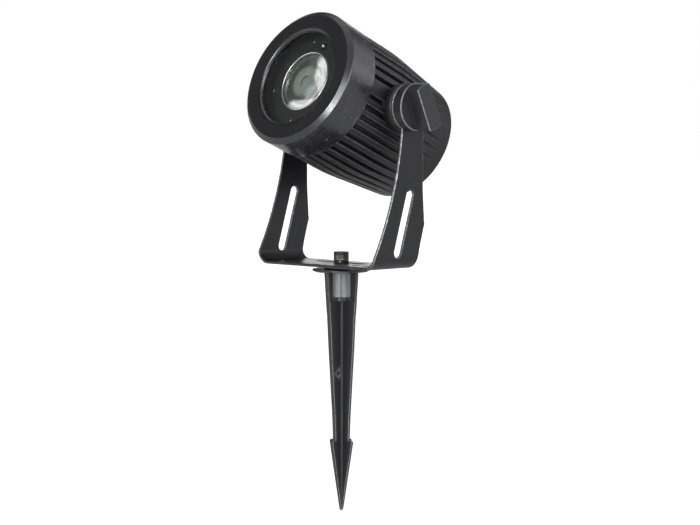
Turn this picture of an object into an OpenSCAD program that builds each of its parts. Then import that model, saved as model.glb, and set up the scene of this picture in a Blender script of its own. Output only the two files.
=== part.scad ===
// Garden light projector on a ground stake.
// Frame: +Z up, origin on the stake axis at the top of the flange.
// The lamp head looks towards -Y, tilted up; the tilt axis runs along X. Right is +X.
// Suffixes: _l length, _w width, _h height, _t thickness, _d diameter, _r radius,
// _a place along the light axis, measured from the tilt axis, positive to the front.

/* [Stake] */
// Length of the stake below the flange top
stake_l = 210; // [190:1:240]
// Diameter of the round flange
flange_d = 50; // [46:1:54]
// Thickness of the flange
flange_t = 2.5; // [2:0.1:3]
// Thickness of each stake fin
stake_fin_t = 2.8; // [2.2:0.1:3.2]
// Turn of the stake fins about the bolt, from square to the bracket
stake_yaw = 5; // [-45:1:45]
// Diameter of the metal sleeve nut between the fins
sleeve_d = 15.7; // [15:0.1:17]
// Length of the metal sleeve nut
sleeve_l = 21.8; // [20:0.1:22.5]

/* [Bracket] */
// Outside width of the U bracket
bracket_w = 144.6; // [143:0.1:146]
// Sheet thickness of the bracket
sheet_t = 2.5; // [2:0.1:2.5]
// Outside radius of the bends
bend_r = 12; // [10:0.5:13]
// Front edge of the base, distance from the bolt
base_front = 31.5; // [30:0.5:33]
// Back edge of the base, distance from the bolt
base_back = 20; // [19:0.5:21]
// Width of the adjusting slots
slot_w = 8.5; // [8.3:0.1:9]
// Length of the slot in the base
base_slot_l = 62; // [50:1:64]
// Diameter of the fixing holes in the base
fix_d = 6.5; // [5:0.5:7]
// Distance between the outer pair of fixing holes
fix_outer = 104; // [100:1:108]
// Distance between the inner pair of fixing holes
fix_inner = 76; // [72:1:80]
// Rubber washer between the flange and the bracket
washer_t = 2.9; // [2.5:0.1:3.5]

/* [Head] */
// Tilt of the lamp axis above level
tilt = 23; // [-10:1:60]
// Height of the tilt axis above the flange top
pivot_z = 138.4; // [137:0.1:142]
// Distance of the tilt axis behind the stake axis
pivot_y = 8.9; // [8:0.1:10]
// Outside diameter of the front bezel
bezel_d = 121; // [120:0.5:122]
// Length of the bezel
bezel_l = 31.7; // [31:0.1:32]
// Distance of the bezel face from the tilt axis
face_a = 66.3; // [66:0.1:66.6]
// Diameter of the opening in the bezel
lip_d = 83; // [80:0.5:84]
// Number of fin pitches round the body
fin_n = 40; // [36:1:42]
// Diameter over the fins, next to the bezel
body_d = 119; // [118.4:0.2:119.4]
// Distance of the rear wall from the tilt axis
rear_a = 78; // [77:0.5:80]
// Width of each groove between the fins at its floor
groove_w = 3.0; // [2.4:0.1:3.6]

/* [Optics] */
// Radius of the reflector rim
refl_r = 26; // [25:0.1:27]
// Radius of the step ring on the lens
lens_ring_r = 14.5; // [12:0.5:16]
// Radius of the centre ring on the lens
lens_core_r = 6.3; // [5:0.1:8]

/* [Knobs] */
// Diameter of each knob
knob_d = 40; // [38:0.5:41]
// Thickness of the knob disc
knob_t = 9.6; // [8:0.1:11]
// Width of the grip bar
bar_w = 15.5; // [12:0.5:18]
// Height of the grip bar above the disc
bar_h = 14; // [10:0.5:16]
// Lean of the grip bar towards the front, from upright
bar_lean = 24; // [0:1:90]

/* [Hidden] */
$fn = 64;
charcoal = "#3a3b3f";
overlap = 0.01;                  // overlap inside one solid
gap = 0.05;                      // face gap and radial running gap
bolt_r = 3.95;                   // M8 bolt and studs
thread_r = 4.0;                  // M8 threaded holes

// bracket levels
plate_z = washer_t;              // underside of the bracket base
plate_top = plate_z + sheet_t;
arm_in = bracket_w/2 - sheet_t;  // inside face of each arm
boss_x = arm_in - 6;             // end face of each pivot boss

// places along the light axis, front to rear
lip_back = face_a - 4;           // back of the bezel lip
glass_back = face_a - 8;
mask_a = face_a - 10.1;          // front of the mask plate
mask_back = mask_a - 2;
mouth_a = face_a - 12.3;         // front end of the body spigot
bezel_back = face_a - bezel_l;
led_board_t = 1.6;
ledge_a = 16;                    // ledge under the heat plate
heat_top = ledge_a + 8;          // front of the heat plate
led_board_a = heat_top + gap;
led_board_top = led_board_a + led_board_t;
led_seat = led_board_top + gap;  // back of the LED chips and holder
pcb_a = -62;                     // back of the driver board
pcb_t = 1.6;
pcb_top = pcb_a + pcb_t;
pcb_seat = pcb_top + gap;        // back of the parts on the driver board
rear_wall_t = 8;
rear_in = rear_wall_t - rear_a;  // inside face of the rear wall

// radii and angles of the hole patterns round the light axis
diagonals = [45:90:315];
opposite = [0, 180];
mask_screw_angles = [94, 194, 266, 346];
mask_screw_at = 36;
heat_screw_at = 40.7;
driver_screw_at = 29;
led_screw_at = 12;
lead_y = -19.5;                  // LED leads, below the light axis

// -------------------------------------------------------------- helpers
// lamp head frame: local +Z is the light axis, local X is the tilt axis
module at_head() translate([0, pivot_y, pivot_z]) rotate([90 - tilt, 0, 0]) children();
module at_pivot() translate([0, pivot_y, pivot_z]) children();
module at_each(angles, radius, z = 0)
    for (angle = angles) rotate([0, 0, angle]) translate([radius, 0, z]) children();
module mirror_x() mirror([1, 0, 0]) children();

function curve(start, control, end, t) =
    start*(1-t)*(1-t) + control*2*t*(1-t) + end*t*t;
function arc(centre, radius, from, to, steps) =
    [for (i = [0:steps]) let (angle = from + (to - from)*i/steps)
        centre + radius*[cos(angle), sin(angle)]];

module ring(inner_r, outer_r, bottom, top) translate([0, 0, bottom]) difference() {
    cylinder(r = outer_r, h = top - bottom);
    translate([0, 0, -1]) cylinder(r = inner_r, h = top - bottom + 2);
}
module slot_shape(from, to, width) {
    run = to - from;
    angle = atan2(run[1], run[0]);
    polygon(concat(arc(from, width/2, angle + 90, angle + 270, 12),
        arc(to, width/2, angle - 90, angle + 90, 12)));
}
// shape in the Y-Z plane, extruded along X
module along_x(from, to)
    translate([from, 0, 0]) rotate([90, 0, 90]) linear_extrude(to - from) children();
// solid of revolution about X; points are [radius, x]
module turned_about_x(points) rotate([0, 90, 0]) rotate_extrude() polygon(points);

// screw seated at z = 0; head is its outline as [radius, height]
module screw(length, shank_r, head) rotate_extrude()
    polygon(concat([[0, -length], [shank_r, -length], [shank_r, gap]], head));
module cross_recess(length, width, floor_z) for (angle = [0, 90]) rotate([0, 0, angle])
    translate([-length/2, -width/2, floor_z]) cube([length, width, 2]);

// ---------------------------------------------------------------- stake
sleeve_top = -flange_t - gap;
seat_z = -27.6;                  // bottom of the seat under the sleeve nut
pocket_z = -27.2;                // bottom of the pocket between the fins
bolt_clear_r = 4.3;

module stake_fin() {
    // [distance from the stake axis, height]
    upper_edge = [[0, -1], [18.5, -1], [18.5, -4.7], [15.95, -38.6], [15.55, -40.6],
        [13.95, -69], [9.6, -129], [8.8, -147], [8.9, -148.2], [11.0, -148.5]];
    barb = arc([11.5, -149.6], 1.1, 80, 0, 5);
    point = [[12.5, -151.2], [1.6, -stake_l + 1.6], [0.8, -stake_l + 0.3], [0, -stake_l]];
    rotate([90, 0, 0]) translate([0, 0, -stake_fin_t/2]) linear_extrude(stake_fin_t)
        polygon(concat(upper_edge, barb, point));
}
module flange() rotate_extrude() polygon([[0, 0], [flange_d/2 - 0.4, 0], [flange_d/2, -0.4],
    [flange_d/2, -1.3], [flange_d/2 - 2.4, -flange_t], [0, -flange_t]]);
module ground_stake() color("#2d2e30") rotate([0, 0, stake_yaw]) difference() {
    union() {
        flange();
        difference() {
            union() {
                for (k = [0:3]) rotate([0, 0, 90*k]) stake_fin();
                translate([0, 0, -stake_l + 4]) cylinder(r1 = 1.2, r2 = 2.5, h = stake_l - 5);
            }
            // open pocket between the fins for the sleeve nut and the bolt tip
            translate([0, 0, pocket_z]) cylinder(r = 12.2, h = 30);
        }
        // round seat under the sleeve nut
        translate([0, 0, seat_z]) cylinder(r = 7.8, h = sleeve_top - sleeve_l - gap - seat_z);
    }
    // hole for the bolt through the flange, and room for its tip in the seat
    translate([0, 0, -flange_t - 1]) cylinder(r = bolt_clear_r, h = flange_t + 2);
    translate([0, 0, seat_z]) cylinder(r = 4.4, h = 8);
    // round sink, 0.5 deep, on one face of each fin
    for (k = [0:3]) rotate([0, 0, 90*k]) translate([6.4, -stake_fin_t/2 - 1, -90])
        rotate([-90, 0, 0]) cylinder(r = 2.9, h = 1.5);
}
module stake_sleeve() color("#8f9094") translate([0, 0, sleeve_top]) rotate_extrude()
    polygon([[thread_r, -sleeve_l], [sleeve_d/2 - 0.5, -sleeve_l],
        [sleeve_d/2, -sleeve_l + 0.5], [sleeve_d/2, -0.3], [sleeve_d/2 - 0.3, 0], [thread_r, 0]]);
module flange_washer() color("#1c1c1d") ring(bolt_clear_r, 15, gap, washer_t - gap);

spring_top = plate_top + 1.65;
module spring_washer() color("#6f7074") difference() {
    ring(4.15, 6.35, plate_top + gap, spring_top);
    // split on the +X side
    translate([3, -0.5, plate_top - 1]) cube([5, 1, 5]);
}
module base_bolt() {
    head_z = spring_top + gap;
    head_r = 6.5;
    head_h = 8;
    tip_z = -26.6;
    socket_w = 6;                // across the flats
    color("#77787c") difference() {
        rotate_extrude() polygon([[0, tip_z], [bolt_r - 1, tip_z], [bolt_r, tip_z + 1],
            [bolt_r, head_z], [head_r, head_z], [head_r, head_z + head_h - 0.6],
            [head_r - 0.6, head_z + head_h], [0, head_z + head_h]]);
        translate([0, 0, head_z + 4]) cylinder(r = socket_w/2/cos(30), h = 5, $fn = 6);
    }
}

// -------------------------------------------------------------- bracket
// outline of an arm and the base edges, as [y, z]
module side_profile() {
    pivot = [pivot_y, pivot_z];
    end_r = 19.5;                // round end of the arm
    end_angle = 246;             // where the front edge meets the round end
    back_y = 25.9;
    edge_foot = [-base_front, plate_z + 10];
    edge_control = [-3.9, 65.2];
    edge_top = pivot + end_r*[cos(end_angle), sin(end_angle)];
    difference() {
        polygon(concat([[-base_front, plate_z - 1]],
            [for (i = [0:11]) curve(edge_foot, edge_control, edge_top, i/12)],
            arc(pivot, end_r, end_angle, -acos((back_y - pivot_y)/end_r), 36),
            [[back_y, 76], [26.3, 62], [27.2, 48]],
            arc([22.9, 40.6], 5, 8, -22, 4),
            [[21.6, 18], [base_back + 0.4, 12], [base_back, 8], [base_back, plate_z - 1]]));
        slot_shape([-4.5, 17], [10.3, 65], slot_w);
        translate(pivot) circle(r = thread_r);
    }
}
module u_shape(width, radius, bottom) {
    corner_x = width/2 - radius;
    corner_z = bottom + radius;
    top = 190;
    polygon(concat([[-width/2, top], [-width/2, corner_z]],
        arc([-corner_x, corner_z], radius, 180, 270, 12),
        arc([corner_x, corner_z], radius, -90, 0, 12), [[width/2, top]]));
}
module u_bracket() color(charcoal) difference() {
    intersection() {
        rotate([90, 0, 0]) translate([0, 0, -60]) linear_extrude(120) difference() {
            u_shape(bracket_w, bend_r, plate_z);
            u_shape(bracket_w - 2*sheet_t, bend_r - sheet_t, plate_top);
        }
        along_x(-90, 90) side_profile();
    }
    translate([0, 0, plate_z - 1]) linear_extrude(sheet_t + 2) {
        slot_end = base_slot_l/2 - slot_w/2;
        slot_shape([-slot_end, 0], [slot_end, 0], slot_w);
        for (x = [-fix_outer/2, -fix_inner/2, fix_inner/2, fix_outer/2])
            translate([x, -20]) circle(d = fix_d);
    }
}

// ------------------------------------------------------------ lamp body
taper = 0.11;                    // radius lost per mm towards the rear
taper_from = -20;                // the straight taper starts here
corner_r = 4;                    // rounding of the rear edge
cavity_r = 42;
plate_r = 44.2;                  // heat plate and mask plate
gland_hole_r = 8;
spigot_r = 49.8;

// radius over the fins in the tapered part
function crest(a) = body_d/2 + taper*(a + 10);
module body_solid() {
    corner_a = corner_r - rear_a;
    rotate_extrude($fn = 96) polygon(concat(
        [[0, mouth_a], [spigot_r - 0.6, mouth_a], [spigot_r, mouth_a - 0.6],
            [spigot_r, bezel_back - gap], [body_d/2, bezel_back - gap],
            [body_d/2, 0], [crest(taper_from), taper_from]],
        arc([crest(corner_a) - corner_r, corner_a], corner_r, 0, -90, 6),
        [[0, -rear_a]]));
}
module groove() {
    front = bezel_back + 1;
    length = front + 72;         // the grooves run out before the rear edge
    // one side, floor to mouth: [distance outwards, half width]
    side = [[-1.1, 0.7], [-0.5, groove_w/2 - 0.15], [0.5, groove_w/2 + 0.15],
        [9, groove_w/2 + 1.1]];
    translate([body_d/2 - 3.4, 0, front]) rotate([0, 1, 0]) translate([0, 0, -length])
        linear_extrude(length) polygon(concat(
            [for (p = side) [p[0], -p[1]]], [for (i = [3:-1:0]) side[i]]));
}
module fin_body() color(charcoal) at_head() difference() {
    union() {
        difference() {
            body_solid();
            // one groove is left out on each side, which makes the flat land to the pivot boss
            for (k = [0:fin_n - 1]) if (k != 0 && k != fin_n/2 - 1)
                rotate([0, 0, (k + 0.5)*360/fin_n]) groove();
        }
        for (angle = opposite) rotate([0, 0, angle]) rotate([0, 90, 0])
            cylinder(r = 16, h = boss_x);
    }
    // cavity, with four screw pads left standing under the heat plate
    difference() {
        translate([0, 0, rear_in]) cylinder(r = cavity_r, h = 100);
        at_each(diagonals, 35.5) translate([0, -5, -4]) cube([20, 10, 120]);
    }
    translate([0, 0, ledge_a]) cylinder(r = 44.4, h = 200);
    translate([0, 0, -rear_a - 1]) cylinder(r = gland_hole_r, h = 20);
    // threaded pivot holes
    for (side = [-1, 1]) translate([side*(boss_x + 1), 0, 0]) rotate([0, -side*90, 0])
        cylinder(r = thread_r, h = 20.5);
    // screw holes for the heat plate and the driver board
    at_each(diagonals, heat_screw_at, ledge_a - 9) cylinder(r = 1.5, h = 10);
    at_each(diagonals, driver_screw_at, rear_in - 7) cylinder(r = 1.25, h = 10);
}

// ---------------------------------------------------------------- front
glass_r = 47.8;
gasket_in_r = 44.6;

module front_bezel() color(charcoal) at_head() {
    lip_r = lip_d/2;
    outer_r = bezel_d/2;
    bore_r = 50;
    rotate_extrude($fn = 96) polygon(concat(
        [[bore_r, bezel_back], [outer_r - 1.1, bezel_back], [outer_r - 0.8, bezel_back + 0.4],
            [outer_r, face_a - 3.2]],
        arc([outer_r - 1.2, face_a - 3.3], 1.2, 5, 36, 3),
        [[56.8, face_a - 0.2], [56.2, face_a]],
        arc([lip_r + 1.8, face_a - 1.8], 1.8, 90, 180, 6),
        [[lip_r, lip_back], [bore_r, lip_back]]));
}
module front_glass() color("#9fb0a8", 0.35) at_head()
    translate([0, 0, glass_back]) cylinder(r = glass_r, h = 3.9);
module glass_gasket() color("#1b1b1c") at_head() rotate_extrude() polygon([
    [gasket_in_r, mouth_a + gap], [spigot_r, mouth_a + gap],
    [spigot_r, lip_back - gap], [glass_r + 0.1, lip_back - gap],
    [glass_r + 0.1, glass_back - gap], [gasket_in_r, glass_back - gap]]);

module at_receiver(z = 0) at_each([71.5], 33.3, z) children();
module front_plate() color("#2a2c2c") at_head() difference() {
    translate([0, 0, mask_back]) cylinder(r = plate_r, h = 2);
    translate([0, 0, mask_back - 1]) cylinder(r = refl_r + 0.8, h = 4);
    at_each(mask_screw_angles, mask_screw_at, mask_back - 1) cylinder(r = 1.6, h = 4);
    at_receiver(mask_back - 1) cylinder(r = 3.6, h = 4);
}
module front_plate_screws() color("#8b8c8e") at_head()
    at_each(mask_screw_angles, mask_screw_at, mask_a) difference() {
        screw(length = 8, shank_r = 1.2, head = [[2.0, gap], [2.0, 0.6], [1.5, 1.15], [0, 1.3]]);
        cross_recess(length = 2.2, width = 0.5, floor_z = 0.6);
    }
module plate_standoffs() color("#9a9b9d") at_head()
    at_each(mask_screw_angles, mask_screw_at) difference() {
        translate([0, 0, heat_top + gap])
            cylinder(r = 3, h = mask_back - heat_top - 2*gap, $fn = 6);
        translate([0, 0, mask_a - 14]) cylinder(r = 1.25, h = 20);
    }
module ir_receiver() color("#c9c9cc") at_head() at_receiver() {
    dome_r = 2.5;
    base_w = 6.4;
    dome_a = mask_a - 0.8;
    translate([0, 0, mask_a - 6]) cylinder(r = dome_r, h = 5.2);
    translate([0, 0, mask_a - 4.5]) cylinder(r = 4.6, h = 2.5 - gap);
    translate([0, 0, dome_a]) sphere(r = dome_r);
    translate([-base_w/2, -base_w/2, mask_a - 8]) cube([base_w, base_w, 2 + overlap]);
}

// --------------------------------------------------------------- optics
cup_a = 28;                      // bottom of the reflector
cup_r = 8.4;
cup_top = mask_a - 6.2;          // where the cup meets the collar round the lens
cup_points = [for (i = [0:10]) let (t = i*i/100)
    [cup_r + (refl_r - 1.6 - cup_r)*sqrt(t), cup_a + (cup_top - cup_a)*t]];

module reflector() color("#dcdfe2") at_head() rotate_extrude($fn = 96) polygon(concat(
    cup_points,
    [[refl_r - 0.7, cup_top], [refl_r - 0.7, mask_a + 0.2], [refl_r - 0.4, mask_a + 0.6],
        [refl_r + 0.5, mask_a + 0.6], [refl_r + 0.7, mask_a + 0.3], [refl_r + 0.7, mask_a - 5]],
    [for (i = [10:-1:0]) cup_points[i] + [1.3, -0.5]]));

// domed zone of the lens, from its outer to its inner radius
function lens_zone(outer_r, inner_r, steps, base, rise, dome_r) =
    [for (i = [0:steps]) let (radius = outer_r + (inner_r - outer_r)*i/steps)
        [radius, base + rise*(1 - pow(radius/dome_r, 2))]];
module lens() color("#b9c6bf", 0.5) at_head() rotate_extrude($fn = 96) polygon(concat(
    [[0, mask_a - 6.1], [refl_r - 0.8, mask_a - 6.1], [refl_r - 0.8, mask_a - 2.6]],
    lens_zone(outer_r = refl_r - 1.4, inner_r = lens_ring_r, steps = 6,
        base = mask_a - 2.5, rise = 1.8, dome_r = refl_r),
    [[lens_ring_r - 0.5, mask_a - 0.4]],
    lens_zone(outer_r = lens_ring_r - 0.6, inner_r = lens_core_r, steps = 4,
        base = mask_a - 0.2, rise = 0.5, dome_r = lens_ring_r),
    [[lens_core_r - 0.5, mask_a - 0.7], [0, mask_a - 0.1]]));

module led_holder() color("#e6e6e2") at_head() difference() {
    translate([0, 0, led_seat]) cylinder(r = 15, h = 1.75);
    translate([0, 0, led_seat - 0.7]) cylinder(r = 7.6, h = 5);
    at_each(opposite, led_screw_at, led_seat - 0.7) cylinder(r = 2.6, h = 5);
}
module led_board() color("#e9e9ea") at_head() difference() {
    translate([0, 0, led_board_a]) cylinder(r = 16, h = led_board_t);
    at_each(opposite, led_screw_at, led_board_a - 1) cylinder(r = 1.3, h = 5);
}
module led_chips() color("#e8d96a") at_head() {
    chip_w = 4.4;
    for (x = [-2.6, 2.6], y = [-2.6, 2.6])
        translate([x - chip_w/2, y - chip_w/2, led_seat]) cube([chip_w, chip_w, 0.8]);
}
module led_screws() color("#a0a1a3") at_head() at_each(opposite, led_screw_at, led_board_top)
    screw(length = 7.15, shank_r = 1.1, head = [[2.4, gap], [2.4, 0.95], [1.5, 1.65], [0, 1.65]]);
module heat_plate() color("#b4b6b8") at_head() difference() {
    translate([0, 0, ledge_a + gap]) cylinder(r = plate_r, h = heat_top - ledge_a - gap);
    at_each(diagonals, heat_screw_at) cylinder(r = 1.6, h = 50);
    at_each(opposite, led_screw_at, 18) cylinder(r = 1.15, h = 10);
    // hole for the LED leads
    translate([0, lead_y, 0]) cylinder(r = 3, h = 50);
}
module heat_plate_screws() color("#8b8c8e") at_head()
    at_each(diagonals, heat_screw_at, heat_top) difference() {
        screw(length = 16, shank_r = 1.4, head = [[2.75, gap], [2.75, 1.3], [2, 2], [0, 2]]);
        cross_recess(length = 3.2, width = 0.6, floor_z = 1.2);
    }

// --------------------------------------------------------------- driver
module driver_board() color("#2f6b45") at_head() difference() {
    union() {
        translate([0, 0, pcb_a]) cylinder(r = 34, h = pcb_t);
        // spacers to the rear wall
        at_each(diagonals, driver_screw_at, rear_in + gap) cylinder(r = 3, h = pcb_a - rear_in);
    }
    at_each(diagonals, driver_screw_at, -100) cylinder(r = 1.3, h = 60);
    // hole for the power cable
    translate([0, 0, -100]) cylinder(r = 4.2, h = 60);
}
module driver_screws() color("#8b8c8e") at_head() at_each(diagonals, driver_screw_at, pcb_top)
    screw(length = pcb_top - rear_in + 5.5, shank_r = 1.2,
        head = [[2.7, gap], [2.7, 1.3], [1.9, 2], [0, 2]]);
module driver_transformer() color("#6b5a2c") at_head() {
    translate([-24, -9, pcb_seat]) cube([18, 18, 4]);
    translate([-22, -7, pcb_a + 5]) cube([14, 14, 12]);
    translate([-24, -9, pcb_a + 16]) cube([18, 18, 3]);
}
module driver_capacitors() color("#20262d") at_head() {
    // [x, y, radius, height]
    capacitors = [[16, 8, 6, 20], [17, -8, 5, 15], [10, -20, 4, 12]];
    for (can = capacitors) translate([can[0], can[1], pcb_seat]) cylinder(r = can[2], h = can[3]);
}
module led_leads() color("#a33a30") at_head() {
    lead_r = 0.8;
    bend_a = 26.6;               // the leads turn towards the LEDs here
    for (x = [-1.3, 1.3]) {
        translate([x, lead_y, pcb_seat]) cylinder(r = lead_r, h = bend_a - pcb_seat);
        translate([x, lead_y, bend_a]) sphere(r = lead_r);
        translate([x, lead_y, bend_a]) rotate([-90, 0, 0]) cylinder(r = lead_r, h = 3.8);
    }
}

// ---------------------------------------------------------- cable entry
module at_rear_wall() at_head() translate([0, 0, -rear_a]) children();
module cable_gland() color("#26272a") at_rear_wall() difference() {
    gland_r = gland_hole_r - 0.1;
    union() {
        cylinder(r = gland_r, h = rear_wall_t);
        translate([0, 0, -5.5]) cylinder(r = 10, h = 4, $fn = 6);
        translate([0, 0, overlap - 12]) cylinder(r = gland_r, h = 12);
    }
    translate([0, 0, -30]) cylinder(r = 3.6, h = 60);
}
module gland_nut() color("#2b2c2f") at_rear_wall() difference() {
    rotate_extrude() polygon([[8, -5.6], [9.6, -5.6], [9.6, -11.5], [8.6, -13.6],
        [5, -15], [3.7, -15], [3.7, -12.1], [8, -12.1]]);
    // grip flutes
    at_each([0:30:330], 10.1, -20) cylinder(r = 0.9, h = 25);
}
module gland_seal() color("#151516") at_rear_wall() ring(gland_hole_r, 9.4, -1.5 + gap, -gap);
module power_cable() color("#1d1d1e") at_rear_wall() {
    tail_l = 24;                 // behind the rear wall
    translate([0, 0, -tail_l]) cylinder(r = 3.5, h = tail_l + rear_a + pcb_a + 6);
}

// ---------------------------------------------------------------- knobs
// the right-hand parts, on +X; the left-hand ones are their mirror images
module friction_disc() color("#313235") at_pivot() turned_about_x([[4.1, boss_x + gap],
    [19.3, boss_x + gap], [20, boss_x + 0.7], [20, arm_in - 0.6],
    [19.5, arm_in - gap], [4.1, arm_in - gap]]);
module knob() {
    inner_x = bracket_w/2 + gap;
    disc_x = inner_x + knob_t;   // outer face of the disc
    bar_x = disc_x + bar_h;      // outer face of the grip bar
    rim_r = knob_d/2;
    color("#333437") at_pivot() difference() {
        union() {
            turned_about_x([[0, inner_x], [rim_r - 0.6, inner_x], [rim_r, inner_x + 0.6],
                [rim_r, disc_x - 0.8], [rim_r - 0.8, disc_x], [0, disc_x]]);
            intersection() {
                rotate([bar_lean, 0, 0]) along_x(disc_x - 1, bar_x)
                    square([bar_w, knob_d + 2], center = true);
                turned_about_x([[0, inner_x], [rim_r - 0.1, inner_x],
                    [rim_r - 0.3, bar_x - 1.2], [rim_r - 1.5, bar_x], [0, bar_x]]);
            }
        }
        translate([inner_x - 1, 0, 0]) rotate([0, 90, 0]) cylinder(r = thread_r, h = 13);
    }
}
module knob_stud() color("#8f9094") at_pivot() {
    inner_x = 46.5;
    length = bracket_w/2 + 11 - inner_x;
    translate([inner_x, 0, 0]) turned_about_x([[0, 0], [bolt_r - 0.8, 0], [bolt_r, 0.8],
        [bolt_r, length], [0, length]]);
}
module friction_disc_right() friction_disc();
module friction_disc_left() mirror_x() friction_disc();
module knob_right() knob();
module knob_left() mirror_x() knob();
module knob_stud_right() knob_stud();
module knob_stud_left() mirror_x() knob_stud();

ground_stake();
stake_sleeve();
flange_washer();
spring_washer();
base_bolt();
u_bracket();
fin_body();
front_bezel();
front_glass();
glass_gasket();
front_plate();
front_plate_screws();
plate_standoffs();
ir_receiver();
reflector();
lens();
led_holder();
led_board();
led_chips();
led_screws();
heat_plate();
heat_plate_screws();
driver_board();
driver_transformer();
driver_capacitors();
driver_screws();
led_leads();
cable_gland();
gland_nut();
gland_seal();
power_cable();
friction_disc_right();
friction_disc_left();
knob_right();
knob_left();
knob_stud_right();
knob_stud_left();
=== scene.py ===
# A spot lamp on a ground stake. The stake hangs down the Z axis from its flange near z = 0.
# A U-shaped bracket stands on the flange with its arms at +X (right) and -X (left), and the
# finned lamp head turns between them about a line along X, clamped by a knob on each side.
# The lamp faces -Y, tilted upwards.

import math
from functools import cached_property

import bpy
import bmesh
from mathutils import Matrix, Vector, geometry


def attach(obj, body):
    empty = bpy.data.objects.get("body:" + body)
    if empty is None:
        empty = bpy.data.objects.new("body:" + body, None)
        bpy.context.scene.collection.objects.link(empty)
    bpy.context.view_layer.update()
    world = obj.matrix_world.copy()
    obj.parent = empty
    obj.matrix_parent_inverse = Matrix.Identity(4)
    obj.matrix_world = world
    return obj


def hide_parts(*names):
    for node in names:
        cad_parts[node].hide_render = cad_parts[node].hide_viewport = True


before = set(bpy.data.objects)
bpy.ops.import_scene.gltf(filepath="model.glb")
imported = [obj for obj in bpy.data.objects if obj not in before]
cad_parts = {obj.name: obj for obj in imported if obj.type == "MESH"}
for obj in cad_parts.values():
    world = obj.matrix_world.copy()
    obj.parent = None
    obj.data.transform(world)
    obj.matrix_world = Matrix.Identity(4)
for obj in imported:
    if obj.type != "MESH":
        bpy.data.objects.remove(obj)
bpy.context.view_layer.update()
MM = 0.001


def rotation(degrees, axis):
    return Matrix.Rotation(math.radians(degrees), 4, axis)


# ------------------------------------------------------ main sizes, millimetres
TILT, PIVOT_Y, PIVOT_Z = 23.0, 8.9, 138.4
FACE_Z = 66.3              # bezel's front, along the head's axis from the pivot
BEZEL_BACK = 34.6
REAR_Z = -78.0             # body's rear wall, along the same axis
MASK_Z = FACE_Z - 10.1     # front of the mask plate round the reflector
PLATE_Z = 2.9              # underside of the bracket's base
SHEET_T, BEND_R = 2.5, 12.0
ARM_OUT = 72.3             # outer faces of the arms, from the middle

# Frames of the parts. In HEAD, local +Z points out of the lamp's face and local +X stays +X.
IDENTITY = Matrix.Identity(4)
PIVOT = Matrix.Translation((0, PIVOT_Y, PIVOT_Z))
HEAD = PIVOT @ rotation(90 - TILT, "X")
HEAD_AXIS = HEAD.to_3x3() @ Vector((0, 0, 1))
TO_PIVOT = (0, -PIVOT_Y * MM, -PIVOT_Z * MM)
SIDES = {"right": PIVOT @ rotation(90, "Y"), "left": PIVOT @ rotation(-90, "Y")}  # +Z outwards


# -------------------------------------------------------------- plane geometry
def clamp(value):
    return min(1.0, max(0.0, value))


def cos_sin(degrees):
    return math.cos(math.radians(degrees)), math.sin(math.radians(degrees))


def polar(radius, degrees):
    c, s = cos_sin(degrees)
    return radius * c, radius * s


def arc(cx, cy, radius, start, end, steps):
    points = [polar(radius, start + (end - start) * i / steps) for i in range(steps + 1)]
    return [(cx + x, cy + y) for x, y in points]


def circle(cx, cy, radius, count):
    return arc(cx, cy, radius, 0, 360 - 360 / count, count - 1)


def fillet(points, closed=True, steps=5, hold=0.25):
    """Rounds the corners of a profile of (r, z, radius) or (r, z, radius, wear).

    Gives (r, z, wear). hold is the distance to an extra point on either side of a rounding.
    """
    out = []
    count = len(points)
    for i, point in enumerate(points):
        x, y, radius, wear = (*point, 0)[:4]
        here = Vector((x, y))
        if radius <= 0 or (not closed and i in (0, count - 1)):
            out.append((here.x, here.y, wear))
            continue
        before = Vector(points[i - 1][:2]) - here
        after = Vector(points[(i + 1) % count][:2]) - here
        half = before.angle(after) / 2
        cut = min(radius / math.tan(half), before.length * 0.48, after.length * 0.48)
        radius = cut * math.tan(half)
        before.normalize()
        after.normalize()
        centre = here + (before + after).normalized() * (radius / math.sin(half))
        start, end = here + before * cut, here + after * cut
        if hold:
            out.append((*(start + before * hold), 0))
        first = start - centre
        turn = first.angle_signed(end - centre)
        for k in range(steps + 1):
            spoke = first.copy()
            spoke.rotate(Matrix.Rotation(-turn * k / steps, 2))
            middle = 1 - abs(2 * k / steps - 1)
            out.append((centre.x + spoke.x, centre.y + spoke.y, wear * (0.35 + 0.65 * middle)))
        if hold:
            out.append((*(end + after * hold), 0))
    return out


def inset(loop, distance):
    """Moves an anticlockwise loop inwards, or a clockwise hole's edge into the sheet."""
    out = []
    for i, point in enumerate(loop):
        before, here, after = Vector(loop[i - 1]), Vector(point), Vector(loop[(i + 1) % len(loop)])
        u, v = (here - before).normalized(), (after - here).normalized()
        side = Vector((-u.y, u.x))
        mitre = (side + Vector((-v.y, v.x))).normalized()
        out.append(here + mitre * (distance / max(0.5, mitre.dot(side))))
    return out


def edge_rings(thickness, radius, steps=3, hold=0.45):
    """(inset, height, wear) over a sheet's rounded edge, bottom to top; height 0 is mid sheet."""
    top = thickness / 2
    out = [(radius + hold, -top, 0)]
    for k in range(steps + 1):
        c, s = cos_sin(90 * k / steps)
        out.append((radius * (1 - s), -top + radius * (1 - c), 0.6 if k > 0 else 0.1))
    for k in range(steps + 1):
        c, s = cos_sin(90 * k / steps)
        out.append((radius * (1 - c), top - radius + radius * s, 0.6 if k < steps else 0.1))
    out.append((radius + hold, top, 0))
    return out


def hexagon(angle, flat, _z):
    """Radius of a hexagon whose flats lie at the distance flat from the middle."""
    return flat / math.cos(math.radians((angle + 30) % 60 - 30))


# ---------------------------------------------------------------------- meshes
def smooth_object(obj, angle):
    obj.data.shade_smooth()
    obj.data.set_sharp_from_angle(angle=math.radians(angle))
    modifier = obj.modifiers.new("normals", "WEIGHTED_NORMAL")
    modifier.mode, modifier.weight, modifier.keep_sharp = "FACE_AREA", 80, True


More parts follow.
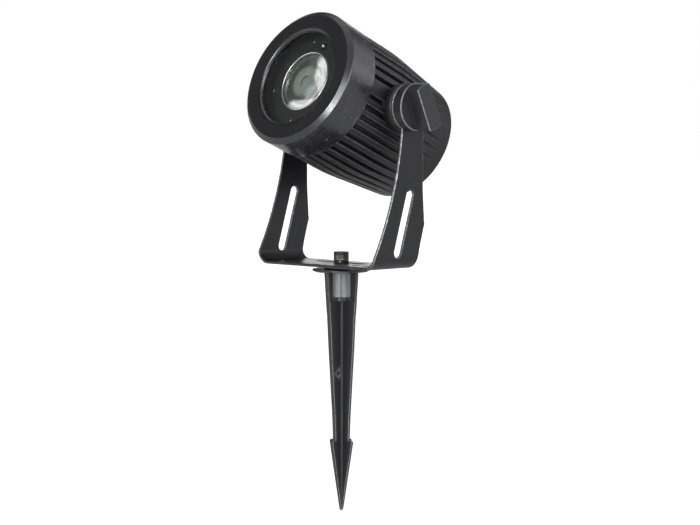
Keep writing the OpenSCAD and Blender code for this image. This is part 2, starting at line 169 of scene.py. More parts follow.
class Piece:
    """Collects points in millimetres, faces and a wear value a point.

    New points go through the current matrix, which may change between parts of a piece.
    Where rings are given normals, all of them are, and the built mesh keeps them exactly.
    """

    def __init__(self, matrix=IDENTITY):
        self.points, self.faces, self.wear, self.normals = [], [], [], []
        self.matrix = matrix

    def add(self, point, wear=0.0):
        self.points.append(self.matrix @ Vector(point))
        self.wear.append(wear)
        return len(self.points) - 1

    def ring(self, points, wear=0.0, normals=()):
        self.normals += [tuple(normal.normalized()) for normal in normals]
        return [self.add(point, wear) for point in points]

    def bridge(self, rings, closed=False):
        """Faces between each ring and the next; closed also joins the last to the first."""
        for a, b in zip(rings, rings[1:] + rings[:1] if closed else rings[1:]):
            for i in range(len(a)):
                j = (i + 1) % len(a)
                face = list(dict.fromkeys([a[i], a[j], b[j], b[i]]))
                if len(face) > 2:
                    self.faces.append(face)

    def cap(self, loops, flip=False, flatten=None):
        """Fills loops of point indices; the first is the outline, the rest are holes."""
        inverse = self.matrix.inverted()
        flatten = flatten or (lambda point: inverse @ point)
        indices = [i for loop in loops for i in loop]
        flat = [[flatten(self.points[i]) for i in loop] for loop in loops]
        for triangle in geometry.tessellate_polygon(flat):
            face = [indices[k] for k in triangle]
            self.faces.append(face[::-1] if flip else face)

    def turned_rings(self, profile, count, reshape=None):
        """Rings round local Z from (r, z, wear); r = 0 becomes one point.

        reshape, where given, turns (angle, r, z) into another radius.
        """
        rings = []
        for r, z, wear in profile:
            if r < 1e-3:
                rings.append([self.add((0, 0, z), wear)] * count)
                continue
            points = []
            for i in range(count):
                angle = 360 * i / count
                points.append((*polar(reshape(angle, r, z) if reshape else r, angle), z))
            rings.append(self.ring(points, wear))
        return rings

    def lathe(self, profile, count, closed=True, reshape=None):
        self.bridge(self.turned_rings(profile, count, reshape), closed)

    def plate(self, loops, thickness, radius, middle=0.0):
        """A flat sheet in local XY with rounded edges; outline anticlockwise, holes clockwise."""
        tops, bottoms = [], []
        for loop in loops:
            rings = []
            for distance, height, wear in edge_rings(thickness, radius):
                points = [(p.x, p.y, middle + height) for p in inset(loop, distance)]
                rings.append(self.ring(points, wear))
            self.bridge(rings)
            bottoms.append(rings[0])
            tops.append(rings[-1])
        self.cap(tops)
        self.cap(bottoms, flip=True)

    def build(self, name, material, angle=40):
        """Makes the object; angle is the sharpest one still smoothed, in degrees."""
        mesh = bpy.data.meshes.new(name)
        mesh.from_pydata([point * MM for point in self.points], [], self.faces)
        wear = mesh.color_attributes.new("wear", "FLOAT_COLOR", "POINT")
        for i, value in enumerate(self.wear):
            wear.data[i].color = (value, value, value, 1)
        mesh.materials.append(material)
        bm = bmesh.new()
        bm.from_mesh(mesh)
        if not self.normals:
            bmesh.ops.remove_doubles(bm, verts=bm.verts, dist=1e-7)
        bmesh.ops.recalc_face_normals(bm, faces=bm.faces)
        bm.to_mesh(mesh)
        bm.free()
        obj = bpy.data.objects.new(name, mesh)
        bpy.context.scene.collection.objects.link(obj)
        if self.normals:
            mesh.shade_smooth()
            mesh.normals_split_custom_set_from_vertices(self.normals)
        else:
            smooth_object(obj, angle)
        return obj


def turned(profile, count, matrix=IDENTITY, closed=True, steps=4, reshape=None):
    """A piece turned from a filleted profile."""
    piece = Piece(matrix)
    piece.lathe(fillet(profile, closed, steps), count, closed, reshape)
    return piece


def fit(obj, body, slot, *nodes):
    """Hangs an object on its moving body, in place of CAD nodes; slot is not used."""
    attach(obj, body)
    if nodes:
        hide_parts(*nodes)
    return obj


# ---------------------------------------------------------------- shader nodes
class Shader:
    """Node tree of a material or world, with short calls for the common nodes."""

    def __init__(self, owner, output="ShaderNodeOutputMaterial"):
        owner.use_nodes = True
        self.owner, self.tree = owner, owner.node_tree
        self.tree.nodes.clear()
        self.output = self.node(output)

    def node(self, kind, inputs=None, **settings):
        """Adds a node; inputs are sockets or values, and colours are given as three numbers."""
        node = self.tree.nodes.new(kind)
        for key, value in settings.items():
            setattr(node, key, value)
        for key, value in (inputs or {}).items():
            socket = node.inputs[key]
            if isinstance(value, bpy.types.NodeSocket):
                self.tree.links.new(value, socket)
            else:
                socket.default_value = (*value, 1) if socket.type == "RGBA" else value
        return node

    @cached_property
    def position(self):
        return self.node("ShaderNodeTexCoord").outputs["Object"]

    def noise(self, scale, detail=3.0, rough=0.55, stretch=None, at=None):
        at = at or self.position
        if stretch:
            at = self.node("ShaderNodeMapping", {"Vector": at, "Scale": stretch}).outputs[0]
        inputs = {"Vector": at, "Scale": scale, "Detail": detail, "Roughness": rough}
        return self.node("ShaderNodeTexNoise", inputs).outputs["Fac"]

    def ramp(self, value, start, end):
        """Black up to start, white from end."""
        node = self.node("ShaderNodeValToRGB", {"Fac": value})
        for element, position in zip(node.color_ramp.elements, (start, end)):
            element.position = position
        return node.outputs[0]

    def span(self, value, low=0, high=1, start=0.3, end=0.7, smooth=False):
        """Maps start..end to low..high; the default start and end are a noise's useful part."""
        inputs = {"Value": value, "From Min": start, "From Max": end, "To Min": low, "To Max": high}
        kind = "SMOOTHSTEP" if smooth else "LINEAR"
        return self.node("ShaderNodeMapRange", inputs, interpolation_type=kind).outputs[0]

    def math(self, operation, a, b=0.0, clamp=False):
        inputs = {0: a, 1: b}
        return self.node("ShaderNodeMath", inputs, operation=operation, use_clamp=clamp).outputs[0]

    def part(self, value, share, clamp=False):
        return self.math("MULTIPLY", value, share, clamp)

    def vector(self, operation, a, b=None):
        inputs = {0: a} if b is None else {0: a, 1: b}
        outputs = self.node("ShaderNodeVectorMath", inputs, operation=operation).outputs
        return outputs["Vector" if operation in ("ADD", "CROSS_PRODUCT") else "Value"]

    def combine(self, x, y, z=0.0):
        return self.node("ShaderNodeCombineXYZ", {0: x, 1: y, 2: z}).outputs[0]

    def mix(self, factor, a, b):
        return self.node("ShaderNodeMix", {0: factor, 6: a, 7: b}, data_type="RGBA").outputs[2]

    def wear(self):
        return self.node("ShaderNodeAttribute", attribute_name="wear").outputs["Fac"]

    def bump(self, height, strength, distance, normal=None):
        inputs = {"Height": height, "Strength": strength, "Distance": distance}
        if normal is not None:
            inputs["Normal"] = normal
        return self.node("ShaderNodeBump", inputs).outputs[0]

    def mix_shader(self, factor, a, b):
        return self.node("ShaderNodeMixShader", {0: factor, 1: a, 2: b}).outputs[0]

    def finish(self, shader):
        self.tree.links.new(shader, self.output.inputs[0])
        return self.owner

    def principled(self, **inputs):
        inputs = {key.replace("_", " "): value for key, value in inputs.items()}
        return self.finish(self.node("ShaderNodeBsdfPrincipled", inputs).outputs[0])


def new_material(name):
    return Shader(bpy.data.materials.new(name))


def shade(base, by):
    return tuple(min(1, channel * by) for channel in base)


# ------------------------------------------------------------------- materials
def powder(name, base, rough, specular, rub_and_highlight_tone=(0.30, 0.30, 0.31), rub_and_highlight_amount=0.75, sharp=1.0):
    """Fine satin powder coat over metal, specked, with pale edges: rubbed, and on some parts painted
    highlights.
    """
    mat = new_material(name)
    least_rub_and_highlight = 0.35
    broad = mat.noise(scale=22, detail=4)
    medium = mat.noise(scale=160, detail=4)
    fine = mat.noise(scale=1500, detail=2)
    colour = mat.mix(mat.span(broad), shade(base, by=0.82), shade(base, by=1.22))
    speck = mat.ramp(mat.noise(scale=900, detail=2), start=0.63, end=0.75)
    colour = mat.mix(mat.part(speck, share=0.25), colour, shade(base, by=2.2))
    chip = mat.ramp(mat.noise(scale=420, detail=5, rough=0.7), start=0.42, end=0.60)
    rub_and_highlight = mat.part(mat.math("POWER", mat.wear(), sharp), share=rub_and_highlight_amount)
    rub_and_highlight = mat.math("MULTIPLY", rub_and_highlight, mat.math("MAXIMUM", chip, least_rub_and_highlight), clamp=True)
    colour = mat.mix(rub_and_highlight, colour, rub_and_highlight_tone)
    roughness = mat.span(medium, low=rough - 0.05, high=rough + 0.06)
    roughness = mat.math("ADD", roughness, mat.span(broad, low=-0.03, high=0.03))
    normal = mat.bump(fine, strength=0.22, distance=0.00012)
    normal = mat.bump(medium, strength=0.10, distance=0.0004, normal=normal)
    return mat.principled(Base_Color=colour, Roughness=roughness, Metallic=mat.part(rub_and_highlight, share=0.35),
                          Specular_IOR_Level=specular, Normal=normal,
                          Coat_Weight=0.0, Coat_Roughness=0.25)


def plastic(name, base, rough, rub_and_highlight_tone=(0.16, 0.16, 0.17), rub_and_highlight_amount=0.5, grain=0.6,
            streak=None, sharp=1.0):
    """Moulded plastic: even colour with faint flow, fine moulded grain and pale edges: rubbed, and
    on some parts painted highlights.
    """
    mat = new_material(name)
    flow = mat.noise(scale=30, detail=3, rough=0.5, stretch=streak)
    fine = mat.noise(scale=2400, detail=2)
    medium = mat.noise(scale=260)
    colour = mat.mix(mat.span(flow), shade(base, by=0.86), shade(base, by=1.18))
    patches = mat.noise(scale=500, detail=4, rough=0.7)
    rub_and_highlight = mat.part(mat.math("POWER", mat.wear(), sharp), share=rub_and_highlight_amount)
    patchy = mat.span(patches, low=0.4, start=0.35, end=0.6)
    rub_and_highlight = mat.math("MULTIPLY", rub_and_highlight, patchy, clamp=True)
    colour = mat.mix(rub_and_highlight, colour, rub_and_highlight_tone)
    roughness = mat.span(medium, low=rough - 0.05, high=rough + 0.07)
    normal = mat.bump(fine, strength=0.16 * grain, distance=0.00008)
    normal = mat.bump(medium, strength=0.08 * grain, distance=0.0003, normal=normal)
    return mat.principled(Base_Color=colour, Roughness=roughness, Specular_IOR_Level=0.5,
                          Normal=normal)


def metal(name, base, rough):
    """Plated or turned metal with fine tool lines, small stains and uneven gloss."""
    mat = new_material(name)
    lines = mat.noise(scale=500, detail=2, rough=0.5, stretch=(1, 1, 14))
    stain = mat.ramp(mat.noise(scale=120, detail=5, rough=0.65), start=0.45, end=0.75)
    colour = mat.mix(mat.part(stain, share=0.25), base, shade(base, by=0.45))
    colour = mat.mix(mat.part(mat.wear(), share=0.5, clamp=True), colour, shade(base, by=1.6))
    roughness = mat.span(lines, low=rough - 0.08, high=rough + 0.1)
    roughness = mat.math("ADD", roughness, mat.part(stain, share=0.12))
    return mat.principled(Base_Color=colour, Metallic=0.95, Roughness=roughness,
                          Normal=mat.bump(lines, strength=0.18, distance=0.0001))


def simple(name, base, rough=0.5, metallic=0.0, scale=300):
    """Inside parts: colour, gloss and grain vary a little."""
    mat = new_material(name)
    cloud, grain = mat.noise(scale=scale), mat.noise(scale=scale * 5, detail=2)
    colour = mat.mix(mat.span(cloud), shade(base, by=0.85), shade(base, by=1.12))
    roughness = mat.span(cloud, low=max(0.02, rough - 0.06), high=rough + 0.06)
    return mat.principled(Base_Color=colour, Roughness=roughness, Metallic=metallic,
                          Normal=mat.bump(grain, strength=0.12, distance=0.0001))


def clear_glass(name):
    """Thin clear glass: sees straight through, reflects by angle on its outer side, faint dust."""
    mat = new_material(name)
    mirror = mat.node("ShaderNodeFresnel", {"IOR": 1.5}).outputs[0]
    back = mat.node("ShaderNodeNewGeometry").outputs["Backfacing"]
    mirror = mat.math("MULTIPLY", mirror, mat.math("SUBTRACT", 1.0, back), clamp=True)
    dust = mat.ramp(mat.noise(scale=700, detail=4, rough=0.7), start=0.60, end=0.78)
    roughness = mat.span(mat.noise(scale=14), low=0.01, high=0.05)
    through = mat.node("ShaderNodeBsdfTransparent", {"Color": (0.965, 0.972, 0.966)}).outputs[0]
    gloss = mat.node("ShaderNodeBsdfGlossy", {"Color": (1, 1, 1), "Roughness": roughness}).outputs[0]
    grey = mat.node("ShaderNodeBsdfDiffuse", {"Color": (0.5, 0.5, 0.48)}).outputs[0]
    clean = mat.mix_shader(mirror, through, gloss)
    return mat.finish(mat.mix_shader(mat.part(dust, share=0.05), clean, grey))


def sleeve_with_painted_bands(name):
    """Zinc-plated sleeve: lines along its length whose colour bands are partly painted reflections,
    a dark line down one side, soft uneven gloss.
    """
    mat = new_material(name)
    dark_line_angle = 0.80     # radians from +X towards -Y
    x, y, z = mat.node("ShaderNodeSeparateXYZ", {0: mat.position}).outputs
    turn = mat.math("ARCTAN2", y, x)
    unrolled = mat.combine(mat.part(turn, share=1.0), mat.part(z, share=3.0))
    lines = mat.noise(scale=9.0, detail=4.0, rough=0.6, at=unrolled)
    away = mat.math("ABSOLUTE", mat.math("ADD", turn, dark_line_angle))
    dark_line = mat.span(away, low=1.0, high=0.0, start=0.035, end=0.085)
    stain = mat.ramp(mat.noise(scale=240, detail=4, rough=0.6), start=0.5, end=0.72)
    # the lines swing the colour light and dark: painted reflection bands along the sleeve
    colour = mat.mix(mat.span(lines, start=0.32, end=0.68), (0.22, 0.22, 0.23), (0.37, 0.37, 0.38))
    colour = mat.mix(mat.part(stain, share=0.25), colour, (0.10, 0.10, 0.10))
    # dark line painted down one side, towards the front right
    colour = mat.mix(mat.part(dark_line, share=0.75), colour, (0.03, 0.03, 0.03))
    return mat.principled(Base_Color=colour, Metallic=0.6,
                          Roughness=mat.span(lines, low=0.56, high=0.72),
                          Normal=mat.bump(lines, strength=0.12, distance=0.0001))


def turned_finish(name, base, rough):
    """Turned, thinly coated rim: tool rings round the lamp's axis, soft sheen, small scuffs, and
    pale chips where wear is high, partly painted glints.
    """
    mat = new_material(name)
    least_wear = 0.04
    inputs = {"Vector": mat.position, "Location": TO_PIVOT}
    centred = mat.node("ShaderNodeMapping", inputs).outputs[0]
    along = mat.vector("DOT_PRODUCT", centred, tuple(HEAD_AXIS))
    radius = mat.vector("LENGTH", mat.vector("CROSS_PRODUCT", centred, tuple(HEAD_AXIS)))
    tool = mat.combine(along, radius)
    rings = mat.noise(scale=2600, detail=2, rough=0.6, at=tool)
    wide = mat.noise(scale=420, rough=0.6, at=tool)
    spot = mat.noise(scale=180, detail=4, rough=0.65)
    colour = mat.mix(mat.span(wide), shade(base, by=0.85), shade(base, by=1.2))
    scuff = mat.ramp(mat.noise(scale=320, detail=5, rough=0.7), start=0.58, end=0.74)
    worn = mat.math("ADD", mat.wear(), least_wear)
    rub_and_highlight = mat.math("MULTIPLY", worn, scuff, clamp=True)
    colour = mat.mix(mat.part(rub_and_highlight, share=0.9), colour, (0.42, 0.42, 0.43))
    # pale chips where wear is high; on the bezel's rear edge they are partly painted glints
    chips_and_glints = mat.ramp(mat.noise(scale=620, rough=0.6), start=0.575, end=0.62)
    chips_and_glints = mat.math("MULTIPLY", chips_and_glints, mat.span(mat.wear(), start=0.55, end=0.85))
    colour = mat.mix(chips_and_glints, colour, (0.70, 0.70, 0.71))
    roughness = mat.math("ADD", mat.span(rings, low=rough - 0.05, high=rough + 0.07),
                         mat.span(spot, low=-0.03, high=0.05))
    normal = mat.bump(rings, strength=0.10, distance=0.00005)
    fine = mat.noise(scale=1200, detail=2)
    normal = mat.bump(fine, strength=0.06, distance=0.00008, normal=normal)
    return mat.principled(Base_Color=colour, Roughness=roughness, Specular_IOR_Level=1.0,
                          Normal=normal)


def reflector_finish(name):
    """Metallised cup: bright, with faint unevenness and soft haze."""
    mat = new_material(name)
    ripple = mat.noise(scale=260)
    colour = mat.mix(mat.span(mat.noise(scale=60)), (0.80, 0.82, 0.82), (0.93, 0.94, 0.94))
    return mat.principled(Base_Color=colour, Metallic=1.0,
                          Roughness=mat.span(ripple, low=0.06, high=0.16),
                          Normal=mat.bump(ripple, strength=0.05, distance=0.0002))


def lens_with_painted_light(name):
    """Moulded optic in its cup: milky middle and dark clear zone, with painted light in its colour:
    painted reflection crescents, a faint painted haze, and a painted shade ring by the core."""
    mat = new_material(name)
    radius_scale = 40.0                      # radius 1 lies at 25 mm
    noise_middle = 0.5
    dark_level, green_tint = 0.058, (0.93, 1.07, 0.97)
    centred = mat.vector("ADD", mat.position, TO_PIVOT)
    u = mat.vector("DOT_PRODUCT", centred, (1, 0, 0))
    v = mat.vector("DOT_PRODUCT", centred, tuple(HEAD.to_3x3() @ Vector((0, 1, 0))))
    square = mat.math("ADD", mat.math("MULTIPLY", u, u), mat.math("MULTIPLY", v, v))
    radius = mat.part(mat.math("SQRT", square), share=radius_scale)
    warp = mat.part(mat.math("SUBTRACT", mat.noise(scale=170), noise_middle), share=0.16)
    angle = mat.math("ADD", mat.math("ARCTAN2", v, u), warp)
    warped = mat.math("ADD", radius, mat.part(warp, share=0.35))

    def window(value, start, end):
        return mat.span(value, start=start, end=end, smooth=True)

    def nearness(centre):
        return mat.math("COSINE", mat.math("SUBTRACT", angle, math.radians(centre)))

    def painted_crescent(centre, full, none, middle, tips, soft):
        """Painted reflection: bright outside an edge that runs from radius middle, at its centre, to
        tips.

        centre is its angle; it is full within full degrees of that and gone at none.
        """
        near = nearness(centre)
        gone = math.cos(math.radians(none))
        across = window(near, start=gone, end=math.cos(math.radians(full)))
        edge = mat.span(near, low=tips, high=middle, start=gone, end=1.0)
        beyond = mat.math("SUBTRACT", warped, edge)
        return mat.math("MULTIPLY", across, window(beyond, start=-soft * 0.4, end=soft))

    # streaks along the painted reflection crescents
    unrolled = mat.combine(mat.part(radius, share=5.0), mat.part(angle, share=0.8))
    streak = mat.span(mat.noise(scale=2.2, detail=4.0, rough=0.6, at=unrolled),
                      low=0.46, high=1.12, start=0.32, end=0.62)
    strong = painted_crescent(centre=20, full=36, none=62, middle=0.42, tips=0.86, soft=0.16)
    thin = painted_crescent(centre=278, full=26, none=50, middle=0.66, tips=0.84, soft=0.12)
    faint = painted_crescent(centre=322, full=24, none=46, middle=0.34, tips=0.60, soft=0.30)
    # painted reflections: the crescents lift the base colour to near white
    glow = mat.math("MAXIMUM", mat.math("MAXIMUM", strong, thin), mat.part(faint, share=0.42))
    glow = mat.math("MULTIPLY", glow, streak, clamp=True)
    # milky disc, less a painted shade ring that shows on one side of the core
    disc = window(warped, start=0.66, end=0.38)
    ring = mat.math("MULTIPLY", window(radius, start=0.07, end=0.15),
                    window(radius, start=0.24, end=0.17))
    painted_shade_ring = mat.math("MULTIPLY", ring, window(nearness(150), start=-0.2, end=0.4))
    milk = mat.math("SUBTRACT", mat.part(disc, share=0.155), mat.part(painted_shade_ring, share=0.10))
    # a faint painted haze of light in a small crescent
    painted_haze = painted_crescent(centre=72, full=10, none=36, middle=0.26, tips=0.50, soft=0.30)
    level = mat.math("ADD", dark_level, mat.part(painted_haze, share=0.05))
    level = mat.math("ADD", level, milk)
    level = mat.math("MULTIPLY", level, mat.span(mat.noise(scale=900), low=0.88, high=1.12))
    body = mat.node("ShaderNodeMix", {0: 1.0, 6: mat.combine(level, level, level), 7: green_tint},
                    data_type="RGBA", blend_type="MULTIPLY").outputs[2]
    return mat.principled(Base_Color=mat.mix(glow, body, (0.97, 0.97, 0.97)),
                          Roughness=mat.span(mat.noise(scale=90), low=0.06, high=0.14),
                          Specular_IOR_Level=0.35, Coat_Weight=0.3, Coat_Roughness=0.05,
                          Normal=mat.bump(mat.noise(scale=420), strength=0.04, distance=0.0002))


def sensor_with_painted_glint(name, chip):
    """Smoked dome with a painted highlight: a bright spot round the point chip."""
    mat = new_material(name)
    away = mat.vector("DISTANCE", mat.position, tuple(chip))
    # painted highlight: near white within about a millimetre of the point
    spot = mat.span(away, low=1.0, high=0.0, start=0.0007, end=0.0013)
    smoke = mat.mix(mat.noise(scale=600), (0.004, 0.004, 0.005), (0.009, 0.009, 0.011))
    grain = mat.noise(scale=1200, detail=2)
    return mat.principled(Base_Color=mat.mix(spot, smoke, (0.95, 0.95, 0.95)),
                          Roughness=mat.span(mat.noise(scale=300), low=0.02, high=0.05),
                          Specular_IOR_Level=0.8, Coat_Weight=0.6,
                          Normal=mat.bump(grain, strength=0.05, distance=0.0001))


CHARCOAL = (0.0088, 0.0088, 0.0100)
BODY_COAT = powder("cast_powder_coat", CHARCOAL, rough=0.40, specular=0.48,
                   rub_and_highlight_tone=(0.38, 0.38, 0.39))
BEZEL_COAT = powder("bezel_powder_coat", CHARCOAL, rough=0.38, specular=0.44)
# painted shade: a darker, duller copy of the body's coat for the bosses behind the friction pads
BOSS_COAT_PAINTED_SHADE = powder("boss_powder_painted_shade", (0.0045, 0.0045, 0.0055), rough=0.46, specular=0.14)
# bracket coat: the pale edge tone is partly wear, partly a painted highlight along the sheet's edges
# and slots
BRACKET_COAT_WEAR_AND_HIGHLIGHT = powder("bracket_powder_wear_and_highlight", (0.0068, 0.0068, 0.0088), rough=0.36, specular=0.47,
                      rub_and_highlight_tone=(0.66, 0.66, 0.67), rub_and_highlight_amount=1.0, sharp=2.2)
# knob plastic: its pale edge tone is partly wear, partly painted highlight on the disc's rim and the
# grip's front edge
KNOB_PLASTIC = plastic("knob_plastic", (0.018, 0.018, 0.022), rough=0.36,
                       rub_and_highlight_tone=(0.34, 0.34, 0.35), rub_and_highlight_amount=0.9)
# stake plastic: the pale edge tone on the fin tips is partly wear, partly a painted highlight along
# the fin edges
STAKE_PLASTIC = plastic("stake_plastic", (0.0125, 0.0125, 0.0145), rough=0.36,
                        streak=(1, 1, 0.12), rub_and_highlight_tone=(0.25, 0.25, 0.26), rub_and_highlight_amount=0.8,
                        sharp=2.4)
# flange rim plastic: its near-white edge tone is a painted highlight on the rim
FLANGE_PAINTED_HIGHLIGHT = plastic("flange_plastic_painted_highlight", (0.0125, 0.0125, 0.0140), rough=0.32,
                         rub_and_highlight_tone=(0.85, 0.85, 0.86), rub_and_highlight_amount=1.0, sharp=2.2)
SLEEVE_ZINC = sleeve_with_painted_bands("zinc_sleeve_painted_bands")
BOLT_BLACK = metal("bolt_black_oxide", (0.066, 0.065, 0.062), rough=0.16)
PAD_RUBBER = plastic("friction_pad_rubber", (0.0075, 0.0075, 0.0085), rough=0.52,
                     rub_and_highlight_tone=(0.20, 0.20, 0.21))
WASHER_RUBBER = simple("rubber_black", (0.012, 0.012, 0.012), rough=0.7)
GASKET_RUBBER = simple("gasket_rubber", (0.010, 0.010, 0.010), rough=0.6)
MASK_BLACK = plastic("mask_plate_black", (0.010, 0.0105, 0.011), rough=0.40, grain=0.9)
SCREW_STEEL = metal("screw_steel", (0.45, 0.45, 0.46), rough=0.35)
SCREW_BLACK = metal("screw_black_oxide", (0.10, 0.10, 0.10), rough=0.30)
COVER_GLASS = clear_glass("cover_glass")
NYLON = plastic("gland_nylon", (0.022, 0.022, 0.024), rough=0.40)
CABLE_JACKET = plastic("cable_jacket", (0.018, 0.018, 0.019), rough=0.55, grain=1.4)
TURNED_RIM = turned_finish("turned_rim", (0.009, 0.009, 0.011), rough=0.24)
REFLECTOR = reflector_finish("metallised_reflector")
LENS = lens_with_painted_light("moulded_optic")

# ----------------------------------------------------------------------- stake
FIN_T = 2.8
YAW = rotation(5, "Z")     # turn of the four fins from the X and Y axes
FLANGE_R = 25.0
STAKE_ANGLE = 42

# z, half width across the fins
STAKE_WIDTHS = [(-4.7, 18.5), (-38.6, 15.95), (-40.6, 15.55), (-69, 13.95), (-129, 9.6),
                (-147, 8.8)]
# z of the stations down the shaft
SHAFT_Z = [-30.5, -34, -38, -38.6, -39.2, -39.9, -40.6, -41.4, -46, -52, -58, -64, -69, -75, -82,
           -90, -98, -106, -114, -122, -129, -135, -140, -144, -146.6]
# z, half width where the fins widen into the point
SHOULDER = [(-147.5, 8.8), (-148.0, 8.95), (-148.3, 9.4), (-148.45, 10.4), (-148.55, 11.4),
            (-148.9, 12.1), (-149.6, 12.55), (-150.4, 12.6), (-151.2, 12.45)]
POINT_END = (-208.4, 1.6)  # z, half width


def stake_half_width(z):
    for (z0, w0), (z1, w1) in zip(STAKE_WIDTHS, STAKE_WIDTHS[1:]):
        if z1 <= z <= z0:
            return w0 + (w1 - w0) * (z - z0) / (z1 - z0)


def cross_section(width, thickness, root):
    """(x, y, wear) round a cross of four fins; width is half the span, root the inner fillet."""
    half = thickness / 2
    tip = min(0.55, half * 0.95, width * 0.3)
    root = min(root, max(0.05, width - tip - half - 0.3))
    # fin tips carry full wear, painted pale: partly wear, partly a painted edge highlight
    corner = [(*polar(tip, 90 * i / 4), 1.0 if 0 < i < 4 else 0.3) for i in range(5)]
    quarter = [(width, 0, 0.5)]
    quarter += [(width - tip + x, half - tip + y, wear) for x, y, wear in corner]
    for i in range(5):
        x, y = polar(root, 90 - 90 * i / 4)
        quarter.append((half + root - x, half + root - y, 0.0))
    quarter += [(half - tip + x, width - tip + y, wear) for x, y, wear in corner]
    out = []
    for k in range(4):
        c, s = cos_sin(90 * k)
        out += [(x * c - y * s, x * s + y * c, wear) for x, y, wear in quarter]
    return out


def make_spike():
    """The long cross-shaped part with its wider pointed end."""
    piece = Piece(YAW)
    # z, half width, fin thickness
    stations = [(-27.2, stake_half_width(-27.2) - 0.5, FIN_T - 0.6),
                (-27.4, stake_half_width(-27.4) - 0.1, FIN_T - 0.1),
                (-27.8, stake_half_width(-27.8), FIN_T)]
    stations += [(z, stake_half_width(z), FIN_T) for z in SHAFT_Z]
    stations += [(z, width, FIN_T) for z, width in SHOULDER]
    (z0, w0), (z1, w1) = SHOULDER[-1], POINT_END
    for i in range(1, 11):
        u = i / 10
        stations.append((z0 + (z1 - z0) * u, w0 + (w1 - w0) * u, FIN_T - 0.5 * u * u))
    stations += [(-209.3, 1.15, 1.5), (-209.8, 0.75, 1.0)]
    rings = []
    for z, width, thickness in stations:
        root = 1.7 if z > -200 else 0.4
        section = cross_section(width, min(thickness, width * 1.3), root)
        rings.append([piece.add((x, y, z), wear) for x, y, wear in section])
    piece.bridge(rings)
    piece.cap([rings[0]])
    tip = piece.add((0, 0, -210.0), 0.4)
    end = rings[-1]
    for i in range(len(end)):
        piece.faces.append([tip, end[(i + 1) % len(end)], end[i]])
    return piece.build("stake_spike", STAKE_PLASTIC, STAKE_ANGLE)


def make_stake_head():
    """Fins beside the sleeve, the round seat under it and the flange on top."""
    piece = Piece()
    fin = [(12.2, -1.2), (12.2, -26.6), (12.7, -28.4)]
    fin += [(stake_half_width(z), z) for z in (-28.4, -26, -20, -14, -9, -4.7)]
    fin += [(18.5, -1.2)]
    for k in range(4):
        piece.matrix = YAW @ rotation(90 * k, "Z") @ rotation(90, "X")
        piece.plate([fin], FIN_T, radius=0.5)
    piece.matrix = IDENTITY
    seat = [(4.4, -27.5, 0), (7.8, -27.5, 0), (7.8, -24.4, 0.3, 0.3), (4.4, -24.4, 0.3)]
    piece.lathe(fillet(seat, steps=3), 96)
    flange = [(4.3, 0, 0.2), (FLANGE_R - 0.1, 0, 0.55, 1.0), (FLANGE_R, -1.3, 0.35, 0.8),
              (22.7, -2.5, 0.4, 1.0), (4.3, -2.5, 0.2)]
    start = len(piece.points)
    piece.lathe(fillet(flange, steps=4), 144)
    for i in range(start, len(piece.points)):     # painted highlight along the front stretch of the lower rim, kept in wear
        x, y, z = piece.points[i]
        if -2.6 < z < -1.2 and math.hypot(x, y) > 22.0:
            piece.wear[i] = clamp((math.cos(math.atan2(y, x) + 0.80) - 0.92) / 0.05)
    head = piece.build("stake_head", STAKE_PLASTIC, STAKE_ANGLE)
    head.data.materials.append(FLANGE_PAINTED_HIGHLIGHT)
    # faces out on the rim take the painted-highlight plastic
    for face in head.data.polygons:
        if math.hypot(face.center.x, face.center.y) > 21.0 * MM:
            face.material_index = 1
    return head


def cut_sinks(spike):
    """Cuts a shallow round sink into one face of each fin; gives the cut mesh."""
    piece = Piece()
    for k in range(4):
        on_fin = Matrix.Translation((5.6, FIN_T / 2, -90)) @ rotation(-90, "X")
        piece.matrix = YAW @ rotation(90 * k, "Z") @ on_fin
        piece.lathe([(0, -0.25, 0), (2.5, -0.25, 0), (2.8, 1.0, 0), (0, 1.0, 0)], 32)
    cutter = piece.build("sink_cutter", STAKE_PLASTIC)
    spike.modifiers.clear()
    sinks = spike.modifiers.new("sinks", "BOOLEAN")
    sinks.operation, sinks.object, sinks.solver = "DIFFERENCE", cutter, "EXACT"
    bpy.context.view_layer.update()
    depsgraph = bpy.context.evaluated_depsgraph_get()
    mesh = bpy.data.meshes.new_from_object(spike.evaluated_get(depsgraph))
    spike.modifiers.clear()
    bpy.data.objects.remove(cutter)
    return mesh


def make_stake():
    stake, head = make_spike(), make_stake_head()
    stake.data = cut_sinks(stake)
    bm = bmesh.new()
    bm.from_mesh(stake.data)
    bm.from_mesh(head.data)
    bm.to_mesh(stake.data)
    bm.free()
    bpy.data.objects.remove(head)
    stake.name = "ground_stake_moulding"
    fit(stake, "stake", "stake_plastic", "ground_stake")
    smooth_object(stake, STAKE_ANGLE)


def make_sleeve():
    piece = turned([(4.0, -24.35, 0.5), (7.85, -24.35, 0.6, 0.6), (7.85, -2.55, 0.3),
                    (4.0, -2.55, 0.2)], 128)
    obj = piece.build("stake_sleeve_nut", SLEEVE_ZINC)
    fit(obj, "stake", "plated_steel", "stake_sleeve")


def make_flange_washer():
    piece = turned([(4.3, 0.05, 0.2), (15.0, 0.05, 0.5), (15.0, 2.85, 0.5), (4.3, 2.85, 0.2)], 96)
    obj = piece.build("flange_rubber_washer", WASHER_RUBBER)
    fit(obj, "stake", "washer_rubber", "flange_washer")


